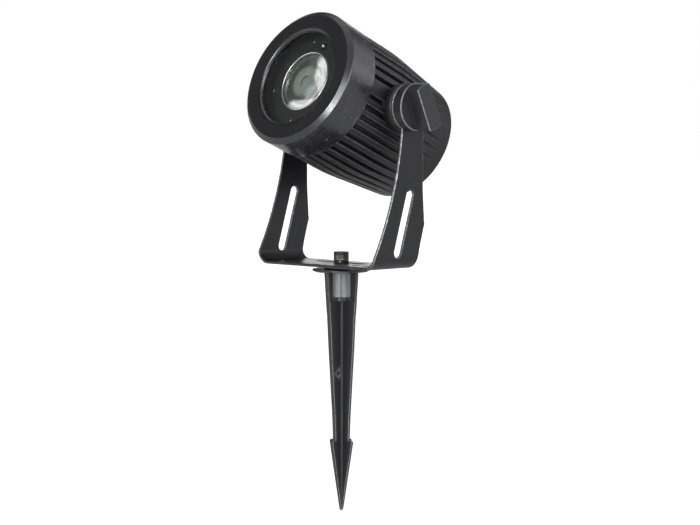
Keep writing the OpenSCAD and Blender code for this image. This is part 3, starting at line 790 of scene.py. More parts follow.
def make_spring_washer():
    """A bevelled ring with a narrow gap."""
    piece = Piece()
    half_gap = 2.6         # degrees
    section = fillet([(4.2, 5.45, 0.15), (6.35, 5.45, 0.25, 0.5), (6.35, 7.03, 0.25, 0.8),
                      (4.2, 7.03, 0.15)], steps=3, hold=0)
    rings = []
    for i in range(73):
        angle = half_gap + (360 - 2 * half_gap) * i / 72
        rings.append([piece.add((*polar(r, angle), z), wear) for r, z, wear in section])
    piece.bridge(rings)
    piece.faces += [rings[0][::-1], rings[-1]]
    obj = piece.build("spring_washer_split", BOLT_BLACK)
    fit(obj, "stake", "plated_steel", "spring_washer")


def make_cap_screw():
    """Knurled head with a hexagon socket, plain shank, chamfered tip."""
    under, top, count = 7.1, 15.1, 320

    def knurl(angle, r, z):
        if r > 6.3 and 7.75 < z < 14.0:
            return r - 0.16 * (0.5 + 0.5 * math.cos(math.radians(angle * 40)))
        return r

    # r, z, wear
    outside = [(0, -26.6, 0.2), (2.9, -26.6, 0.2), (3.9, -25.6, 0.4), (3.95, -25.4, 0.1),
               (3.95, 6.9, 0), (3.95, under, 0), (6.1, under, 0), (6.4, under + 0.15, 0.4),
               (6.5, under + 0.5, 0.2), (6.5, 7.8, 0.1), (6.5, 9.5, 0.5), (6.5, 12.0, 0.5),
               (6.5, 13.8, 0.4), (6.5, 14.1, 0.3), (6.35, 14.6, 0.7), (6.0, 14.95, 0.6),
               (5.6, top, 0.3), (5.2, top, 0.1), (4.0, top, 0.1)]
    socket = [(3.25, top, 0.3), (3.02, 14.85, 0.7), (3.0, 14.6, 0.1), (3.0, 11.1, 0), (0, 10.4, 0)]
    piece = Piece()
    piece.bridge(piece.turned_rings(outside, count, knurl)
                 + piece.turned_rings(socket, count, hexagon))
    obj = piece.build("base_cap_screw", BOLT_BLACK, 50)
    fit(obj, "stake", "plated_steel", "base_bolt")


make_stake()
make_sleeve()
make_flange_washer()
make_spring_washer()
make_cap_screw()

# --------------------------------------------------------------------- bracket
# The U is drawn flat: s runs along the mid sheet from the middle of the base, y across it.
FLAT = ARM_OUT - BEND_R                    # half length of the flat base
MID_Z = PLATE_Z + SHEET_T / 2
MID_R = BEND_R - SHEET_T / 2               # radius of the mid sheet in the bends
BEND_L = MID_R * math.pi / 2
ARM_S = FLAT + BEND_L                      # where the arms start along the sheet
ARM_Z = PLATE_Z + BEND_R                   # and their height there
BASE_FRONT, BASE_BACK = -31.5, 20.0
ARM_END_R = 19.5                           # round end of the arms, about the pivot
EDGE_R = 0.55
# Bend stations along the sheet, from the degrees bent so far. The top three cross the slot.
BEND_STATIONS = [FLAT + MID_R * math.radians(a)
                 for a in (0, 7.5, 15, 22.5, 30, 37.5, 45, 52.5, 60, 67.5, 75, 79.3, 84.5, 90)]

# y, z of the three control points of the arms' front edge
FRONT_START_Z, FRONT_END = 12.9, 246       # FRONT_END: degrees round the arm's end
FRONT_CURVE = [(BASE_FRONT, FRONT_START_Z), (-3.9, 65.2),
               arc(PIVOT_Y, PIVOT_Z, ARM_END_R, FRONT_END, FRONT_END, 1)[0]]
# y, z down the arms' back edge, above and below the rounded knuckle
BACK_Y = 25.9
BACK_UPPER = [(BACK_Y, 76), (BACK_Y, 70), (26.05, 66), (26.3, 62), (26.8, 54), (27.25, 47.5),
              (27.35, 46)]
BACK_LOWER = [(27.0, 37.2), (25.9, 33.6), (24.4, 28.6), (22.9, 23.4), (21.6, 18.3), (21.2, 16.2)]

SLOT_W = 8.5
ARM_SLOT = ((17.0, -4.5), (65.0, 10.3))    # z, y of the centres of the slot's lower and upper ends
SLOT_EDGE_R = 0.4
# Points of the slot's loop on the last, third and second from last... stations, on either side
SLOT_BACK, SLOT_FRONT = (2, 4, 6), (18, 16, 14)


def s_of_z(z):
    if z >= ARM_Z:
        return ARM_S + z - ARM_Z
    return FLAT + MID_R * math.acos(1 - (z - MID_Z) / MID_R)


def z_of_s(s):
    if s > ARM_S:
        return ARM_Z + s - ARM_S
    return MID_Z + MID_R * (1 - math.cos((s - FLAT) / MID_R))


def sheet_point(s, y, height):
    """Point at a height above the mid sheet (inside the U), and its s and height directions."""
    side, distance = (1 if s >= 0 else -1), abs(s)
    if distance <= FLAT:
        return Vector((s, y, MID_Z + height)), Vector((1, 0, 0)), Vector((0, 0, 1))
    bend = min((distance - FLAT) / MID_R, math.pi / 2)
    c, sn = math.cos(bend), math.sin(bend)
    x = FLAT + (MID_R - height) * sn
    z = MID_Z + MID_R - (MID_R - height) * c + max(0.0, distance - ARM_S)
    return Vector((side * x, y, z)), Vector((c, 0, side * sn)), Vector((-side * sn, 0, c))


def edge_normal(distance, height, radius):
    """Shares of the outward and upward directions in the normal of a rounded sheet edge."""
    side = 1 if height > 0 else -1
    if distance > radius - 0.0001:
        return 0.0, side
    up = clamp((abs(height) - (SHEET_T / 2 - radius)) / radius)
    return math.sqrt(1 - up * up), side * up


def front_curve(t):
    p, q, r = FRONT_CURVE
    return tuple(p[i] * (1 - t) ** 2 + q[i] * 2 * t * (1 - t) + r[i] * t * t for i in range(2))


def front_y(s):
    z = z_of_s(s)
    if z <= FRONT_START_Z:
        return BASE_FRONT
    low, high = 0.0, 1.0
    for _ in range(40):
        middle = (low + high) / 2
        if front_curve(middle)[1] < z:
            low = middle
        else:
            high = middle
    return front_curve(low)[0]


def back_y(s):
    u = clamp((z_of_s(s) - 7.0) / 9.0)
    return BASE_BACK + 1.1 * u * u


def arm_outline():
    """(s, y) of the right arm: up the front edge, over the round end, down the back edge."""
    end = -math.degrees(math.acos((BACK_Y - PIVOT_Y) / ARM_END_R))
    points = [front_curve(i / 40) for i in range(40)]
    points += arc(PIVOT_Y, PIVOT_Z, ARM_END_R, FRONT_END, end, 72)
    points += BACK_UPPER + arc(22.9, 40.6, 5, 26, -20, 8) + BACK_LOWER
    return [(s_of_z(z), y) for y, z in points]


def arm_slot(piece, side):
    """Edge rings of an arm's slot, whose lower end reaches into the bend.

    Its key points sit on the bend's stations.
    """
    (z_low, y_low), (z_high, y_high) = ARM_SLOT
    s_low, s_high = s_of_z(z_low), s_of_z(z_high)
    tilt = math.degrees(math.atan2(y_high - y_low, z_high - z_low))
    rings = []
    for distance, height, wear in edge_rings(SHEET_T, SLOT_EDGE_R, steps=4, hold=0.2):
        radius = SLOT_W / 2 + distance
        cross = [math.degrees(math.acos((station - s_low) / radius))
                 for station in BEND_STATIONS[:-4:-1]]
        keys = [tilt + 90, *cross, *(360 - angle for angle in reversed(cross)), tilt + 270]
        low = []
        for a0, a1, steps in zip(keys, keys[1:], (2, 2, 2, 8, 2, 2, 2)):
            low += [a0 + (a1 - a0) * i / steps for i in range(steps)]
        low.append(keys[-1])
        around = [(s_low, y_low, angle) for angle in low]
        around += [(s_high, y_high, tilt - 90 + 180 * i / 14) for i in range(15)]
        outward, upward = edge_normal(distance, height, SLOT_EDGE_R)
        points, normals = [], []
        for s, y, angle in around:
            c, sn = cos_sin(angle)
            point, along, up = sheet_point(side * (s + radius * c), y + radius * sn, height)
            points.append(point)
            normals.append((along * (-side * c) + Vector((0, -sn, 0))) * outward + up * upward)
        rings.append(piece.ring(points, wear, normals))
    piece.bridge(rings)
    return rings


def sheet_rings(piece, loop, straight=()):
    """Edge rings of a loop in (s, y); the points in straight keep their s."""
    rings = []
    for distance, height, _ in edge_rings(SHEET_T, EDGE_R, steps=4, hold=0.5):
        moved = inset(loop, distance)
        for i in straight:
            moved[i] = Vector((loop[i][0], moved[i].y))
        outward, upward = edge_normal(distance, height, EDGE_R)
        points, normals = [], []
        for i, p in enumerate(moved):
            point, along, up = sheet_point(p.x, p.y, height)
            run = (Vector(loop[(i + 1) % len(loop)]) - Vector(loop[i - 1])).normalized()
            out = along * run.y + Vector((0, 1, 0)) * -run.x
            points.append(point)
            normals.append(out * outward + up * upward)
        ring = piece.ring(points, normals=normals)
        # the outer edge is painted palest, partly wear and partly a painted edge highlight, and more
        # up the arms than on the base
        line = 0.0 if distance >= 0.45 else 1.0 if height < -0.3 else 0.3
        for i, (s, _) in zip(ring, loop):
            piece.wear[i] = line * (0.35 + 0.65 * clamp((abs(s) - FLAT) / BEND_L))
        rings.append(ring)
    piece.bridge(rings)
    return rings


def mirror(points):
    return [(-s, y) for s, y in points]


def bracket_outline():
    """Anticlockwise (s, y) outline seen from inside the U, and where its bend points are.

    A bend point is known by (side, station number, edge).
    """
    def mark(points, side, edge):
        return [(point, (side, i, edge)) for i, point in enumerate(points)]

    def plain(points):
        return [(point, None) for point in points]

    def base(y):
        return [(-FLAT + 2 * FLAT * i / 12, y) for i in range(1, 12)]

    front = [(s, front_y(s)) for s in BEND_STATIONS]
    back = [(s, back_y(s)) for s in BEND_STATIONS]
    arm = [point for point in arm_outline() if point[0] > ARM_S + 0.4]
    marked = mark(mirror(front), "left", "front")[::-1] + plain(base(BASE_FRONT))
    marked += mark(front, "right", "front") + plain(arm) + mark(back, "right", "back")[::-1]
    marked += plain(base(BASE_BACK)[::-1]) + mark(mirror(back), "left", "back")
    marked += plain(mirror(arm)[::-1])
    where = {tag: i for i, (_, tag) in enumerate(marked) if tag}
    return [point for point, _ in marked], where


def make_bracket():
    piece = Piece()
    outline, where = bracket_outline()
    main = sheet_rings(piece, outline, where.values())
    hole = circle(s_of_z(PIVOT_Z), PIVOT_Y, 4.0, 36)
    arms = [("right", arm_slot(piece, 1), sheet_rings(piece, hole[::-1])),
            ("left", arm_slot(piece, -1), sheet_rings(piece, mirror(hole)))]
    base_holes = [(arc(-26.75, 0, SLOT_W / 2, 90, 270, 14)
                   + arc(26.75, 0, SLOT_W / 2, -90, 90, 14))[::-1]]
    base_holes += [circle(x, -20, 3.25, 28)[::-1] for x in (-52, -38, 38, 52)]
    base_rings = [sheet_rings(piece, loop) for loop in base_holes]
    last = len(BEND_STATIONS) - 1

    def fill(loops, x_axis="z"):
        piece.cap(loops, flatten=lambda p: Vector((getattr(p, x_axis), p.y, 0)))

    for k in (-1, 0):                      # inner face, then outer face
        ring = main[k]

        def run(start, end):
            return ring[where[start]:where[end] + 1]

        base = run(("left", 0, "front"), ("right", 0, "front"))
        base += run(("right", 0, "back"), ("left", 0, "back"))
        fill([base] + [rings[k] for rings in base_rings], x_axis="x")
        outers = {"right": run(("right", last, "front"), ("right", last, "back")),
                  "left": (ring[where["left", last, "back"]:] + ring[:1])[::-1]}
        for side, slot_rings, hole_rings in arms:
            slot = slot_rings[k]
            # the arm is open at its foot, where the slot runs out into the bend
            above = slot[SLOT_BACK[0]::-1] + slot[:SLOT_FRONT[0] - 1:-1]
            fill([outers[side] + above, hole_rings[k]])
            for j in range(last):
                f0, f1 = (ring[where[side, i, "front"]] for i in (j, j + 1))
                b0, b1 = (ring[where[side, i, "back"]] for i in (j, j + 1))
                strip = last - j           # counted down from the arm
                if strip > 3:
                    piece.faces.append([f0, f1, b1, b0])
                elif strip == 3:           # holds the slot's end
                    end = slot[SLOT_BACK[2]:SLOT_FRONT[2] + 1]
                    fill([[f0, f1] + end[::-1] + [b1, b0]])
                else:
                    front = slot[SLOT_FRONT[strip]:SLOT_FRONT[strip - 1] + 1]
                    fill([[f0, f1] + front[::-1]])
                    fill([[b0, b1] + slot[SLOT_BACK[strip - 1]:SLOT_BACK[strip] + 1]])
    obj = piece.build("u_bracket_sheet", BRACKET_COAT_WEAR_AND_HIGHLIGHT)
    fit(obj, "bracket", "bracket_paint", "u_bracket")


make_bracket()

# ------------------------------------------------------------------- lamp body
BODY_R = 59.5
TAPER, REAR_CORNER = 0.11, 4.0
GROOVES = 40
PLAIN_GROOVES = {0, 19}                    # places left without a groove
FLOOR_HALF, TOP_HALF, LIP = 1.5, 2.05, 1.15
CREST_POINTS = 3                           # on the crest between two grooves
BODY_Z = [BEZEL_BACK - 0.05, 33.5, 30, 24, 18, 12, 6, 0, -5, -10, -15, -20, -26, -32, -38, -44,
          -49, -53, -57, -60, -62.5, -64.5, -66, -67.3, -68.3, -69.2, -71, -73, -73.7, -74]
# r, z of the rear wall, cable hole, cavity and front face
BODY_INSIDE = [(48.2, REAR_Z), (47.2, REAR_Z), (14, REAR_Z), (8.4, REAR_Z), (8.0, -77.7),
               (8.0, -70), (42, -70), (42, 16), (44.4, 16), (44.4, 54), (49.2, 54), (49.8, 53.4),
               (49.8, BEZEL_BACK - 0.05)]


def crest_radius(z):
    if z > 0:
        return BODY_R
    if z > -20:
        return BODY_R - TAPER * z * z / 40
    return BODY_R - TAPER * (-z - 10)


def body_radius(z):
    """Outer radius over the fins, with the rounded rear corner."""
    corner_z = REAR_CORNER + REAR_Z
    if z >= corner_z:
        return crest_radius(z)
    u = min(REAR_CORNER, corner_z - z)
    flat = crest_radius(corner_z) - REAR_CORNER
    return flat + math.sqrt(max(0.0, REAR_CORNER * REAR_CORNER - u * u))


def floor_radius(z):
    return BODY_R - 3.4 - 1.1 - math.tan(math.radians(1.0)) * (BEZEL_BACK + 1 - z)


def groove_section():
    """(side offset, share of the depth, wear) across one groove."""
    half = [(FLOOR_HALF * t, 1.0 - 0.03 * t, 0) for t in (0.0, 0.45, 0.8)]
    half += [(FLOOR_HALF + step, depth, 0)
             for step, depth in ((0, 0.93), (0.12, 0.80), (0.24, 0.6), (0.36, 0.40))]
    for i in range(6):
        c, s = cos_sin(90 * i / 5)
        half.append((TOP_HALF + LIP * (1 - c), 0.26 * (1 - s), 0.25 if 1 < i < 5 else 0.05))
    return [(-offset, depth, wear) for offset, depth, wear in reversed(half[1:])] + half


def make_body():
    piece = Piece(HEAD)
    section = groove_section()
    pitch = 360 / GROOVES
    corner = [REAR_CORNER + REAR_Z - REAR_CORNER * math.sin(math.radians(t))
              for t in (10, 20, 30, 40, 50, 60, 70, 80, 88)]
    rings = []
    for z in BODY_Z + corner:
        radius = body_radius(z)
        depth = max(0.0, radius - floor_radius(z))
        fade = min(1.0, depth / 2.2)       # grooves run out softly at the rear corner
        shares = [1.0 if g in PLAIN_GROOVES else 0.55 + 0.45 * fade for g in range(GROOVES)]
        lip = math.degrees((TOP_HALF + LIP) / radius)
        row = []                           # r, angle, wear
        for g, share in enumerate(shares):
            middle = (g + 0.5) * pitch
            cut, rub_and_highlight = (0.0, 0.0) if g in PLAIN_GROOVES else (depth, fade)
            for offset, deep, wear in section:
                angle = middle + math.degrees(offset * share / radius)
                row.append((radius - cut * deep, angle, wear * rub_and_highlight))
            start = middle + lip * share
            end = middle + pitch - lip * shares[(g + 1) % GROOVES]
            for i in range(1, CREST_POINTS + 1):
                row.append((radius, start + (end - start) * i / (CREST_POINTS + 1), 0.0))
        rings.append([piece.add((*polar(r, angle), z), wear) for r, angle, wear in row])
    for r, z in BODY_INSIDE:
        rings.append(piece.ring([(*polar(r, angle), z) for _, angle, _ in row]))
    piece.bridge(rings, closed=True)
    fit(piece.build("finned_lamp_body", BODY_COAT, 55), "head", "cast_paint", "fin_body")


def make_bosses():
    piece = Piece()
    profile = fillet([(4.05, 45, 0), (17.6, 45, 0), (17.2, 57.0, 0.5), (16.0, 59.5, 0.8),
                      (16.0, 63.8, 0.5, 0.5), (4.05, 63.8, 0.3)], steps=4)
    for matrix in SIDES.values():
        piece.matrix = matrix
        piece.lathe(profile, 96)
    # the bosses take the darker coat as painted shade
    fit(piece.build("pivot_bosses", BOSS_COAT_PAINTED_SHADE), "head", "cast_paint")


def make_bezel():
    """Front ring; all but its flat face has the turned finish."""
    # the rear edge and the band in front of it carry high wear: its scuffs and chips are partly
    # wear, partly painted glints
    profile = [(50.0, BEZEL_BACK, 0.2), (60.0, BEZEL_BACK, 0.55, 1.0),
               (60.03, BEZEL_BACK + 1.1, 0, 0.9), (60.05, BEZEL_BACK + 1.6, 0, 0.3),
               (60.5, 62.9, 1.0, 0.35), (56.3, FACE_Z, 0.45, 0.25), (45.4, FACE_Z, 0)]
    profile += [(r, z, 0) for r, z in arc(45.0, 62.8, 3.5, 90, 180, 12)]
    profile += [(41.5, 62.45, 0.12, 0.3), (41.65, 62.3, 0.0, 0.3), (50.0, 62.3, 0.1)]
    piece = Piece(HEAD)
    piece.lathe(fillet(profile, steps=8, hold=0.3), 288)
    bezel = fit(piece.build("front_bezel_ring", BEZEL_COAT, 50), "head", "cast_paint",
                "front_bezel")
    bezel.data.materials.append(TURNED_RIM)
    axis, to_head = HEAD_AXIS.normalized(), HEAD.inverted()
    for face in bezel.data.polygons:
        centre = to_head @ (face.center / MM)
        if face.normal.dot(axis) < 0.93 or math.hypot(centre.x, centre.y) < 43.6:
            face.material_index = 1


def make_glass():
    """Seal and cover glass behind the bezel."""
    seal = turned([(44.6, 54.05, 0.2), (49.8, 54.05, 0.2), (49.8, 62.25, 0.2), (47.9, 62.25, 0.2),
                   (47.9, 58.25, 0.1), (44.6, 58.25, 0.4)], 144, HEAD, steps=3)
    fit(seal.build("glass_seal", GASKET_RUBBER), "head", "washer_rubber", "glass_gasket")
    disc = turned([(0, 58.3, 0), (20, 58.3, 0), (47.7, 58.3, 0.5), (47.7, 62.2, 0.5),
                   (20, 62.2, 0), (0, 62.2, 0)], 144, HEAD, closed=False)
    fit(disc.build("cover_glass_disc", COVER_GLASS), "head", "cover_glass", "front_glass")


# ---------------------------------------------------------- inside the opening
MASK_SCREW_ANGLES, MASK_SCREW_R = (94, 194, 266, 346), 36
SENSOR_AT = polar(33.3, 71.5)
CUP_R = (8.4, 24.4)                        # inside radius at the cup's bottom and rim
CUP_Z = (28, MASK_Z - 6.2)


def make_mask_plate():
    """Plate round the reflector, with the sensor hole and screw holes."""
    piece = Piece(HEAD)
    loops = [circle(0, 0, 44.2, 144), circle(0, 0, 26.85, 120)[::-1],
             circle(*SENSOR_AT, 3.6, 30)[::-1]]
    for angle in MASK_SCREW_ANGLES:
        loops.append(circle(*polar(MASK_SCREW_R, angle), 1.7, 24)[::-1])
    piece.plate(loops, 2.0, radius=0.35, middle=MASK_Z - 1.0)
    fit(piece.build("mask_plate", MASK_BLACK), "head", "black_plate", "front_plate")


def star(angle, big, small):
    """Radius of a four-armed cross with sloped flanks."""
    q = min(angle % 90, 90 - angle % 90)
    if q < 16:
        return big
    return small + (big - small) * (26 - q) / 10 if q < 26 else small


def make_mask_screws():
    """Screws with a domed head and a cross recess."""
    # r, height over the plate, wear
    outside = [(0, -8, 0), (1.0, -8, 0), (1.2, -7.7, 0), (1.2, 0.05, 0), (1.9, 0.05, 0.2),
               (2.0, 0.25, 0.6), (1.92, 0.6, 0.6), (1.7, 0.95, 0.4), (1.4, 1.18, 0.3),
               (1.1, 1.28, 0.2)]
    # outer and inner radius of the cross, height over the plate
    recess = [(1.0, 0.4, 1.3), (0.95, 0.35, 1.1), (0.75, 0.26, 0.62)]
    piece = Piece()
    for angle in MASK_SCREW_ANGLES:
        at = Matrix.Translation((*polar(MASK_SCREW_R, angle), 0))
        piece.matrix = HEAD @ at @ rotation(angle * 1.7, "Z")
        rings = piece.turned_rings([(r, MASK_Z + z, wear) for r, z, wear in outside], 48)
        for big, small, z in recess:
            rings += piece.turned_rings([(big, MASK_Z + z, 0)], 48,
                                        lambda turn, r, _z: star(turn, r, small))
        rings += piece.turned_rings([(0, MASK_Z + 0.6, 0)], 48)
        piece.bridge(rings)
    obj = piece.build("mask_screws", SCREW_BLACK)
    fit(obj, "head", "plated_steel", "front_plate_screws")


def make_sensor():
    """Smoked dome on a small collar."""
    # r, height over the mask plate
    profile = [(0, -6), (2.5, -6), (2.5, -4.5), (4.5, -4.5), (4.6, -4.4), (4.6, -2.15),
               (4.5, -2.05), (2.5, -2.05)]
    profile += arc(0, -0.8, 2.5, 0, 90, 8)[:-1] + [(0, 1.7)]
    piece = Piece(HEAD @ Matrix.Translation((*SENSOR_AT, 0)))
    piece.lathe([(r, MASK_Z + z, 0) for r, z in profile], 40, closed=False)
    # point of the painted highlight, on the dome's top
    chip = piece.matrix @ Vector((0, 0, MASK_Z + 1.5)) * MM
    obj = piece.build("sensor_dome", sensor_with_painted_glint("sensor_dome_smoked_painted_glint", chip))
    fit(obj, "head", "sensor_clear", "ir_receiver")


def make_reflector():
    """Parabolic cup with a rolled rim."""
    (r0, r1), (z0, z1) = CUP_R, CUP_Z
    inner = [(r0 + (r1 - r0) * i / 24, z0 + (z1 - z0) * (i / 24) ** 2) for i in range(25)]
    rim = [(25.3, -6.2), (25.3, -0.1), (25.38, 0.25), (25.6, 0.48), (25.9, 0.6), (26.2, 0.58),
           (26.5, 0.42), (26.66, 0.15), (26.7, -0.3), (26.7, -5)]   # r, height over the mask
    profile = inner + [(r, MASK_Z + z) for r, z in rim]
    profile += [(r + 1.3, z - 0.5) for r, z in reversed(inner)]
    piece = Piece(HEAD)
    piece.lathe([(r, z, 0) for r, z in profile], 192)
    fit(piece.build("reflector_cup", REFLECTOR), "head", "bright_reflector", "reflector")


def make_lens():
    """Stepped lens in the cup's mouth."""
    # r, height over the mask plate, wear
    profile = [(0, -6.1, 0.2), (12, -6.1, 0.15), (25.2, -6.1, 0.0), (25.2, -2.7, 0.0)]
    for i in range(9):
        r = 24.9 - i * (24.9 - 14.9) / 8
        profile.append((r, -2.5 + 1.8 * (1 - (r / 26) ** 2), 0.0 if r > 16 else 0.3))
    profile += [(14.55, -1.25, 0.7), (14.4, -0.55, 0.8), (14.1, -0.28, 0.6)]
    for i in range(7):
        r = 13.8 - i * (13.8 - 6.8) / 6
        profile.append((r, -0.2 + 0.5 * (1 - (r / 14.5) ** 2), 0.55))
    profile += [(6.45, 0.05, 0.2), (6.2, -0.35, 0.15), (5.9, -0.62, 0.35), (4.5, -0.42, 0.6),
                (3.0, -0.25, 0.7), (1.5, -0.14, 0.75), (0, -0.1, 0.75)]
    piece = Piece(HEAD)
    piece.lathe([(r, MASK_Z + z, wear) for r, z, wear in profile], 192, closed=False)
    fit(piece.build("stepped_lens", LENS, 30), "head", "lens_plastic", "lens")


make_body()
make_bosses()
make_bezel()
make_glass()
make_mask_plate()
make_mask_screws()
make_sensor()
make_reflector()
make_lens()

# ----------------------------------------------------------------------- knobs
KNOB_Z = ARM_OUT + 0.05                    # inner face of a knob's disc
DISC_T, GRIP_H = 9.6, 14.0
GRIP_R, GRIP_HALF = 19.85, 7.75            # half length and half width of the grip bar
GRIP_LEAN = 24
GRIP_TURNS = {"right": 270 + GRIP_LEAN, "left": 90 - GRIP_LEAN}


def grip_outline():
    """Anticlockwise outline of the grip bar, long along local Y, with ends on a circle."""
    half_angle = math.degrees(math.asin(GRIP_HALF / GRIP_R))
    y = polar(GRIP_R, half_angle)[0]
    left = [(-GRIP_HALF, -y + 2 * y * (1 - i / 12)) for i in range(1, 12)]
    right = [(GRIP_HALF, -y + 2 * y * i / 12) for i in range(1, 12)]
    return (arc(0, 0, GRIP_R, 90 - half_angle, 90 + half_angle, 14) + left
            + arc(0, 0, GRIP_R, 270 - half_angle, 270 + half_angle, 14) + right)


def make_knob(side):
    """A round disc with a tall grip bar across it."""
    piece = Piece(SIDES[side])
    base, top = KNOB_Z + DISC_T, KNOB_Z + DISC_T + GRIP_H
    profile = [(0, KNOB_Z + 12, 0), (4.0, KNOB_Z + 12, 0)]
    # the disc's outer rim carries pale wear, partly a painted highlight
    profile += fillet([(4.0, KNOB_Z, 0.2), (19.9, KNOB_Z, 0.7, 0.3), (20.0, base, 0.9, 0.85),
                       (0, base, 0)], steps=6, closed=False)
    piece.lathe(profile, 192, closed=False)
    piece.matrix = SIDES[side] @ rotation(GRIP_TURNS[side], "Z")
    loop = grip_outline()
    front = 1 if piece.matrix[1][0] < 0 else -1     # sign of local X on the side towards -Y
    # inset, z, wear
    levels = [(-0.45, base - 0.5, 0), (-0.4, base, 0), (-0.15, base + 0.15, 0),
              (0.0, base + 0.45, 0), (0.0, base + 1.2, 0), (0.12, top - 1.0, 0)]
    for k in range(6):
        c, s = cos_sin(90 * k / 5)
        levels.append((0.15 + 0.5 * (1 - c), top - 0.5 + 0.5 * s, 1.0 if 0 < k < 5 else 0.5))
    levels.append((1.1, top, 0.0))
    rings = []
    for distance, z, wear in levels:
        points = inset(loop, distance)
        if distance < 0:                   # the foot flares, but not past the disc's edge
            points = [p * (19.2 / p.length) if p.length > 19.2 else p for p in points]
        ring = piece.ring([(p.x, p.y, z) for p in points])
        # full wear only on the grip's edge towards -Y, a painted highlight along that edge; a little
        # wear elsewhere
        for i, (x, _) in zip(ring, loop):
            piece.wear[i] = wear * (1.0 if x * front > 7.6 else 0.22)
        rings.append(ring)
    piece.bridge(rings)
    piece.cap([rings[-1]])
    piece.cap([rings[0]], flip=True)
    obj = piece.build("grip_knob_" + side, KNOB_PLASTIC, 45)
    fit(obj, side + "_knob", "knob_plastic", "knob_" + side)


def make_friction_pad(side):
    piece = turned([(4.1, 63.85, 0.2), (19.6, 63.85, 0.6, 0.4), (20.0, 65.2, 0.4, 0.3),
                    (20.0, 69.0, 0.5, 0.8), (19.4, 69.75, 0.2), (4.1, 69.75, 0.2)],
                   192, SIDES[side])
    obj = piece.build("friction_pad_" + side, PAD_RUBBER)
    fit(obj, "head", "knob_plastic", "friction_disc_" + side)


for knob_side in SIDES:
    make_knob(knob_side)
for pad_side in SIDES:
    make_friction_pad(pad_side)


# ----------------------------------------------------------------- cable entry
def make_gland_body():
    """Tube out of the rear wall with a hexagon collar, its corners turned off."""
    piece = turned([(3.6, -70, 0.2), (7.9, -70, 0.3), (7.9, -90, 0.4), (3.6, -90, 0.2)], 96, HEAD,
                   steps=3)
    collar = [(8.2, -79.55, 0.2), (8.66, -79.9, 0.2), (8.66, -83.1, 0.2), (8.2, -83.45, 0.2)]
    rings = piece.turned_rings(collar, 96, lambda angle, r, z: min(hexagon(angle, r, z), 9.75))
    rings += piece.turned_rings([(7.8, -83.45, 0), (7.8, -79.55, 0)], 96)
    piece.bridge(rings, closed=True)
    fit(piece.build("gland_body", NYLON), "head", "black_nylon", "cable_gland")


def make_gland_nut():
    def grip(angle, r, z):
        if r > 9.0 and -94.2 < z < -84.0:
            return r - 0.5 * max(0.0, math.cos(math.radians(angle * 12))) ** 2
        return r

    piece = turned([(8.0, -83.6, 0.2), (9.6, -83.6, 0.4, 0.4), (9.6, -86, 0), (9.6, -91, 0),
                    (9.6, -94.5, 0.6, 0.3), (8.6, -96.6, 0.8, 0.3), (5.0, -98.0, 0.5, 0.2),
                    (3.7, -98.0, 0.3), (3.7, -90.1, 0.1), (8.0, -90.1, 0.1)],
                   192, HEAD, steps=3, reshape=grip)
    fit(piece.build("gland_cap_nut", NYLON), "head", "black_nylon", "gland_nut")


make_gland_body()
make_gland_nut()

# ------------------------------------------- looks of the CAD parts that stay
INSIDE_LOOKS = {
    "plate_standoffs": SCREW_STEEL, "led_screws": SCREW_STEEL, "heat_plate_screws": SCREW_STEEL,
    "driver_screws": SCREW_STEEL, "knob_stud_right": SCREW_STEEL, "knob_stud_left": SCREW_STEEL,
    "led_holder": simple("holder_white", (0.75, 0.75, 0.72), rough=0.45),
    "led_board": simple("board_white", (0.80, 0.80, 0.80), metallic=0.2),
    "led_chips": simple("phosphor_yellow", (0.80, 0.66, 0.16)),
    "heat_plate": simple("bare_aluminium", (0.55, 0.56, 0.58), rough=0.35, metallic=0.9, scale=120),
    "driver_board": simple("board_green", (0.02, 0.16, 0.07), rough=0.35),
    "driver_transformer": simple("winding_copper", (0.35, 0.20, 0.07), rough=0.4, metallic=0.5),
    "driver_capacitors": simple("capacitor_sleeve", (0.02, 0.025, 0.04), rough=0.25),
    "led_leads": simple("lead_red", (0.45, 0.03, 0.02), rough=0.4),
    "gland_seal": GASKET_RUBBER, "power_cable": CABLE_JACKET,
}
for node_name, look in INSIDE_LOOKS.items():
    cad_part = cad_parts.get(node_name)
    if cad_part is None:
        continue
    if not cad_part.material_slots:
        cad_part.data.materials.append(None)
    for material_slot in cad_part.material_slots:
        material_slot.link = "OBJECT"
        material_slot.material = look


# ----------------------------------------------------------------------- stage
def make_floor():
    """White floor just under the stake's tip, lifted towards white for the camera."""
    bm = bmesh.new()
    bmesh.ops.create_grid(bm, x_segments=2, y_segments=2, size=14)
    mesh = bpy.data.meshes.new("studio_floor")
    bm.to_mesh(mesh)
    bm.free()
    floor = bpy.data.objects.new("studio_floor", mesh)
    bpy.context.scene.collection.objects.link(floor)
    floor.location = (0, 0, -0.2102)
    mat = new_material("floor_white")
    camera_ray = mat.node("ShaderNodeLightPath").outputs["Is Camera Ray"]
    matt = mat.node("ShaderNodeBsdfDiffuse", {"Color": (0.86, 0.86, 0.86)}).outputs[0]
    glow = mat.node("ShaderNodeEmission", {"Color": (1, 1, 1), "Strength": 0.62}).outputs[0]
    both = mat.node("ShaderNodeAddShader", {0: matt, 1: glow}).outputs[0]
    mesh.materials.append(mat.finish(mat.mix_shader(camera_ray, matt, both)))


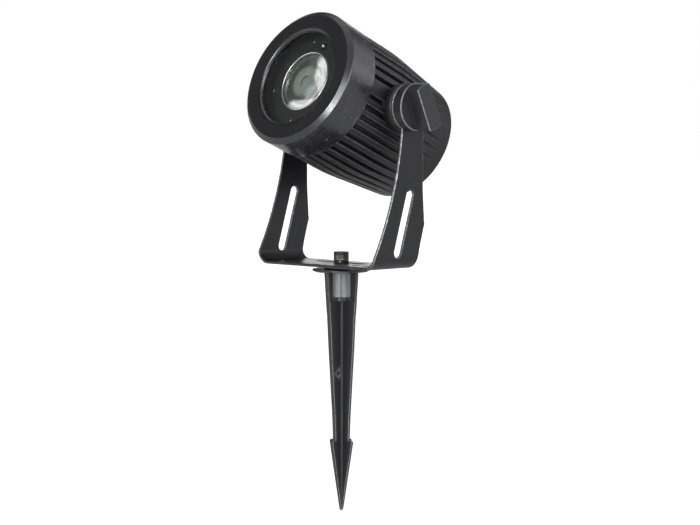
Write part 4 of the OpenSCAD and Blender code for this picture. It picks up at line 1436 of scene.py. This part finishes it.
# soft boxes drawn as smooth lobes: direction, strength, tightness
LOBES = [
    ((0.21, 0.00, 0.98), 0.95, 20), ((-0.26, 0.24, 0.93), 1.0, 20),
    ((-0.59, -0.10, 0.80), 0.2, 20), ((0.55, -0.35, 0.76), 0.6, 20),
    ((0.26, 0.83, 0.50), 1.0, 20), ((0.89, -0.20, 0.41), 5.6, 20),
    ((-0.53, 0.76, 0.37), 0.2, 20), ((-0.64, -0.76, 0.11), 2.3, 20),
    ((0.99, 0.13, 0.07), 4.2, 20), ((-0.71, 0.70, 0.07), 2.7, 45),
    ((0.58, 0.79, 0.20), 1.6, 45), ((0.36, -0.93, -0.02), 25.0, 60),
    ((0.12, -0.97, -0.20), 13.0, 60), ((0.48, -0.80, 0.34), 7.0, 60),
]


def make_world():
    """White to the camera; lit by the lobes otherwise."""
    world = bpy.data.worlds.new("studio")
    bpy.context.scene.world = world
    sky = Shader(world, "ShaderNodeOutputWorld")
    direction = sky.node("ShaderNodeTexCoord").outputs["Generated"]
    total = None
    for towards, strength, tightness in LOBES:
        lobe = sky.vector("DOT_PRODUCT", direction, Vector(towards).normalized())
        lobe = sky.math("POWER", sky.math("MAXIMUM", lobe), tightness)
        lobe = sky.part(lobe, share=strength)
        total = lobe if total is None else sky.math("ADD", total, lobe)
    light = sky.node("ShaderNodeBackground", {0: (0.985, 0.99, 1.0), 1: total}).outputs[0]
    white = sky.node("ShaderNodeBackground", {0: (1, 1, 1), 1: 1.0}).outputs[0]
    camera_ray = sky.node("ShaderNodeLightPath").outputs["Is Camera Ray"]
    sky.finish(sky.mix_shader(camera_ray, light, white))


def make_camera():
    """Looks level and slightly down at the lamp from its front right."""
    scene = bpy.context.scene
    data = bpy.data.cameras.new("camera")
    camera = bpy.data.objects.new("camera", data)
    scene.collection.objects.link(camera)
    azimuth, pitch = math.radians(45.59), math.radians(3.90)
    back = Vector((math.sin(azimuth) * math.cos(pitch), -math.cos(azimuth) * math.cos(pitch),
                   math.sin(pitch)))
    right = Vector((math.cos(azimuth), math.sin(azimuth), 0))
    matrix = Matrix((right, back.cross(right), back)).transposed().to_4x4()
    matrix.translation = Vector((1.2955, -1.2586, 0.12845))
    camera.matrix_world = matrix
    data.sensor_fit = "HORIZONTAL"
    data.sensor_width = 36.0
    data.lens = 108.22
    data.clip_start, data.clip_end = 0.05, 60
    scene.camera = camera
    scene.view_settings.view_transform = "Standard"
    scene.view_settings.look = "None"


make_floor()
make_world()
make_camera()
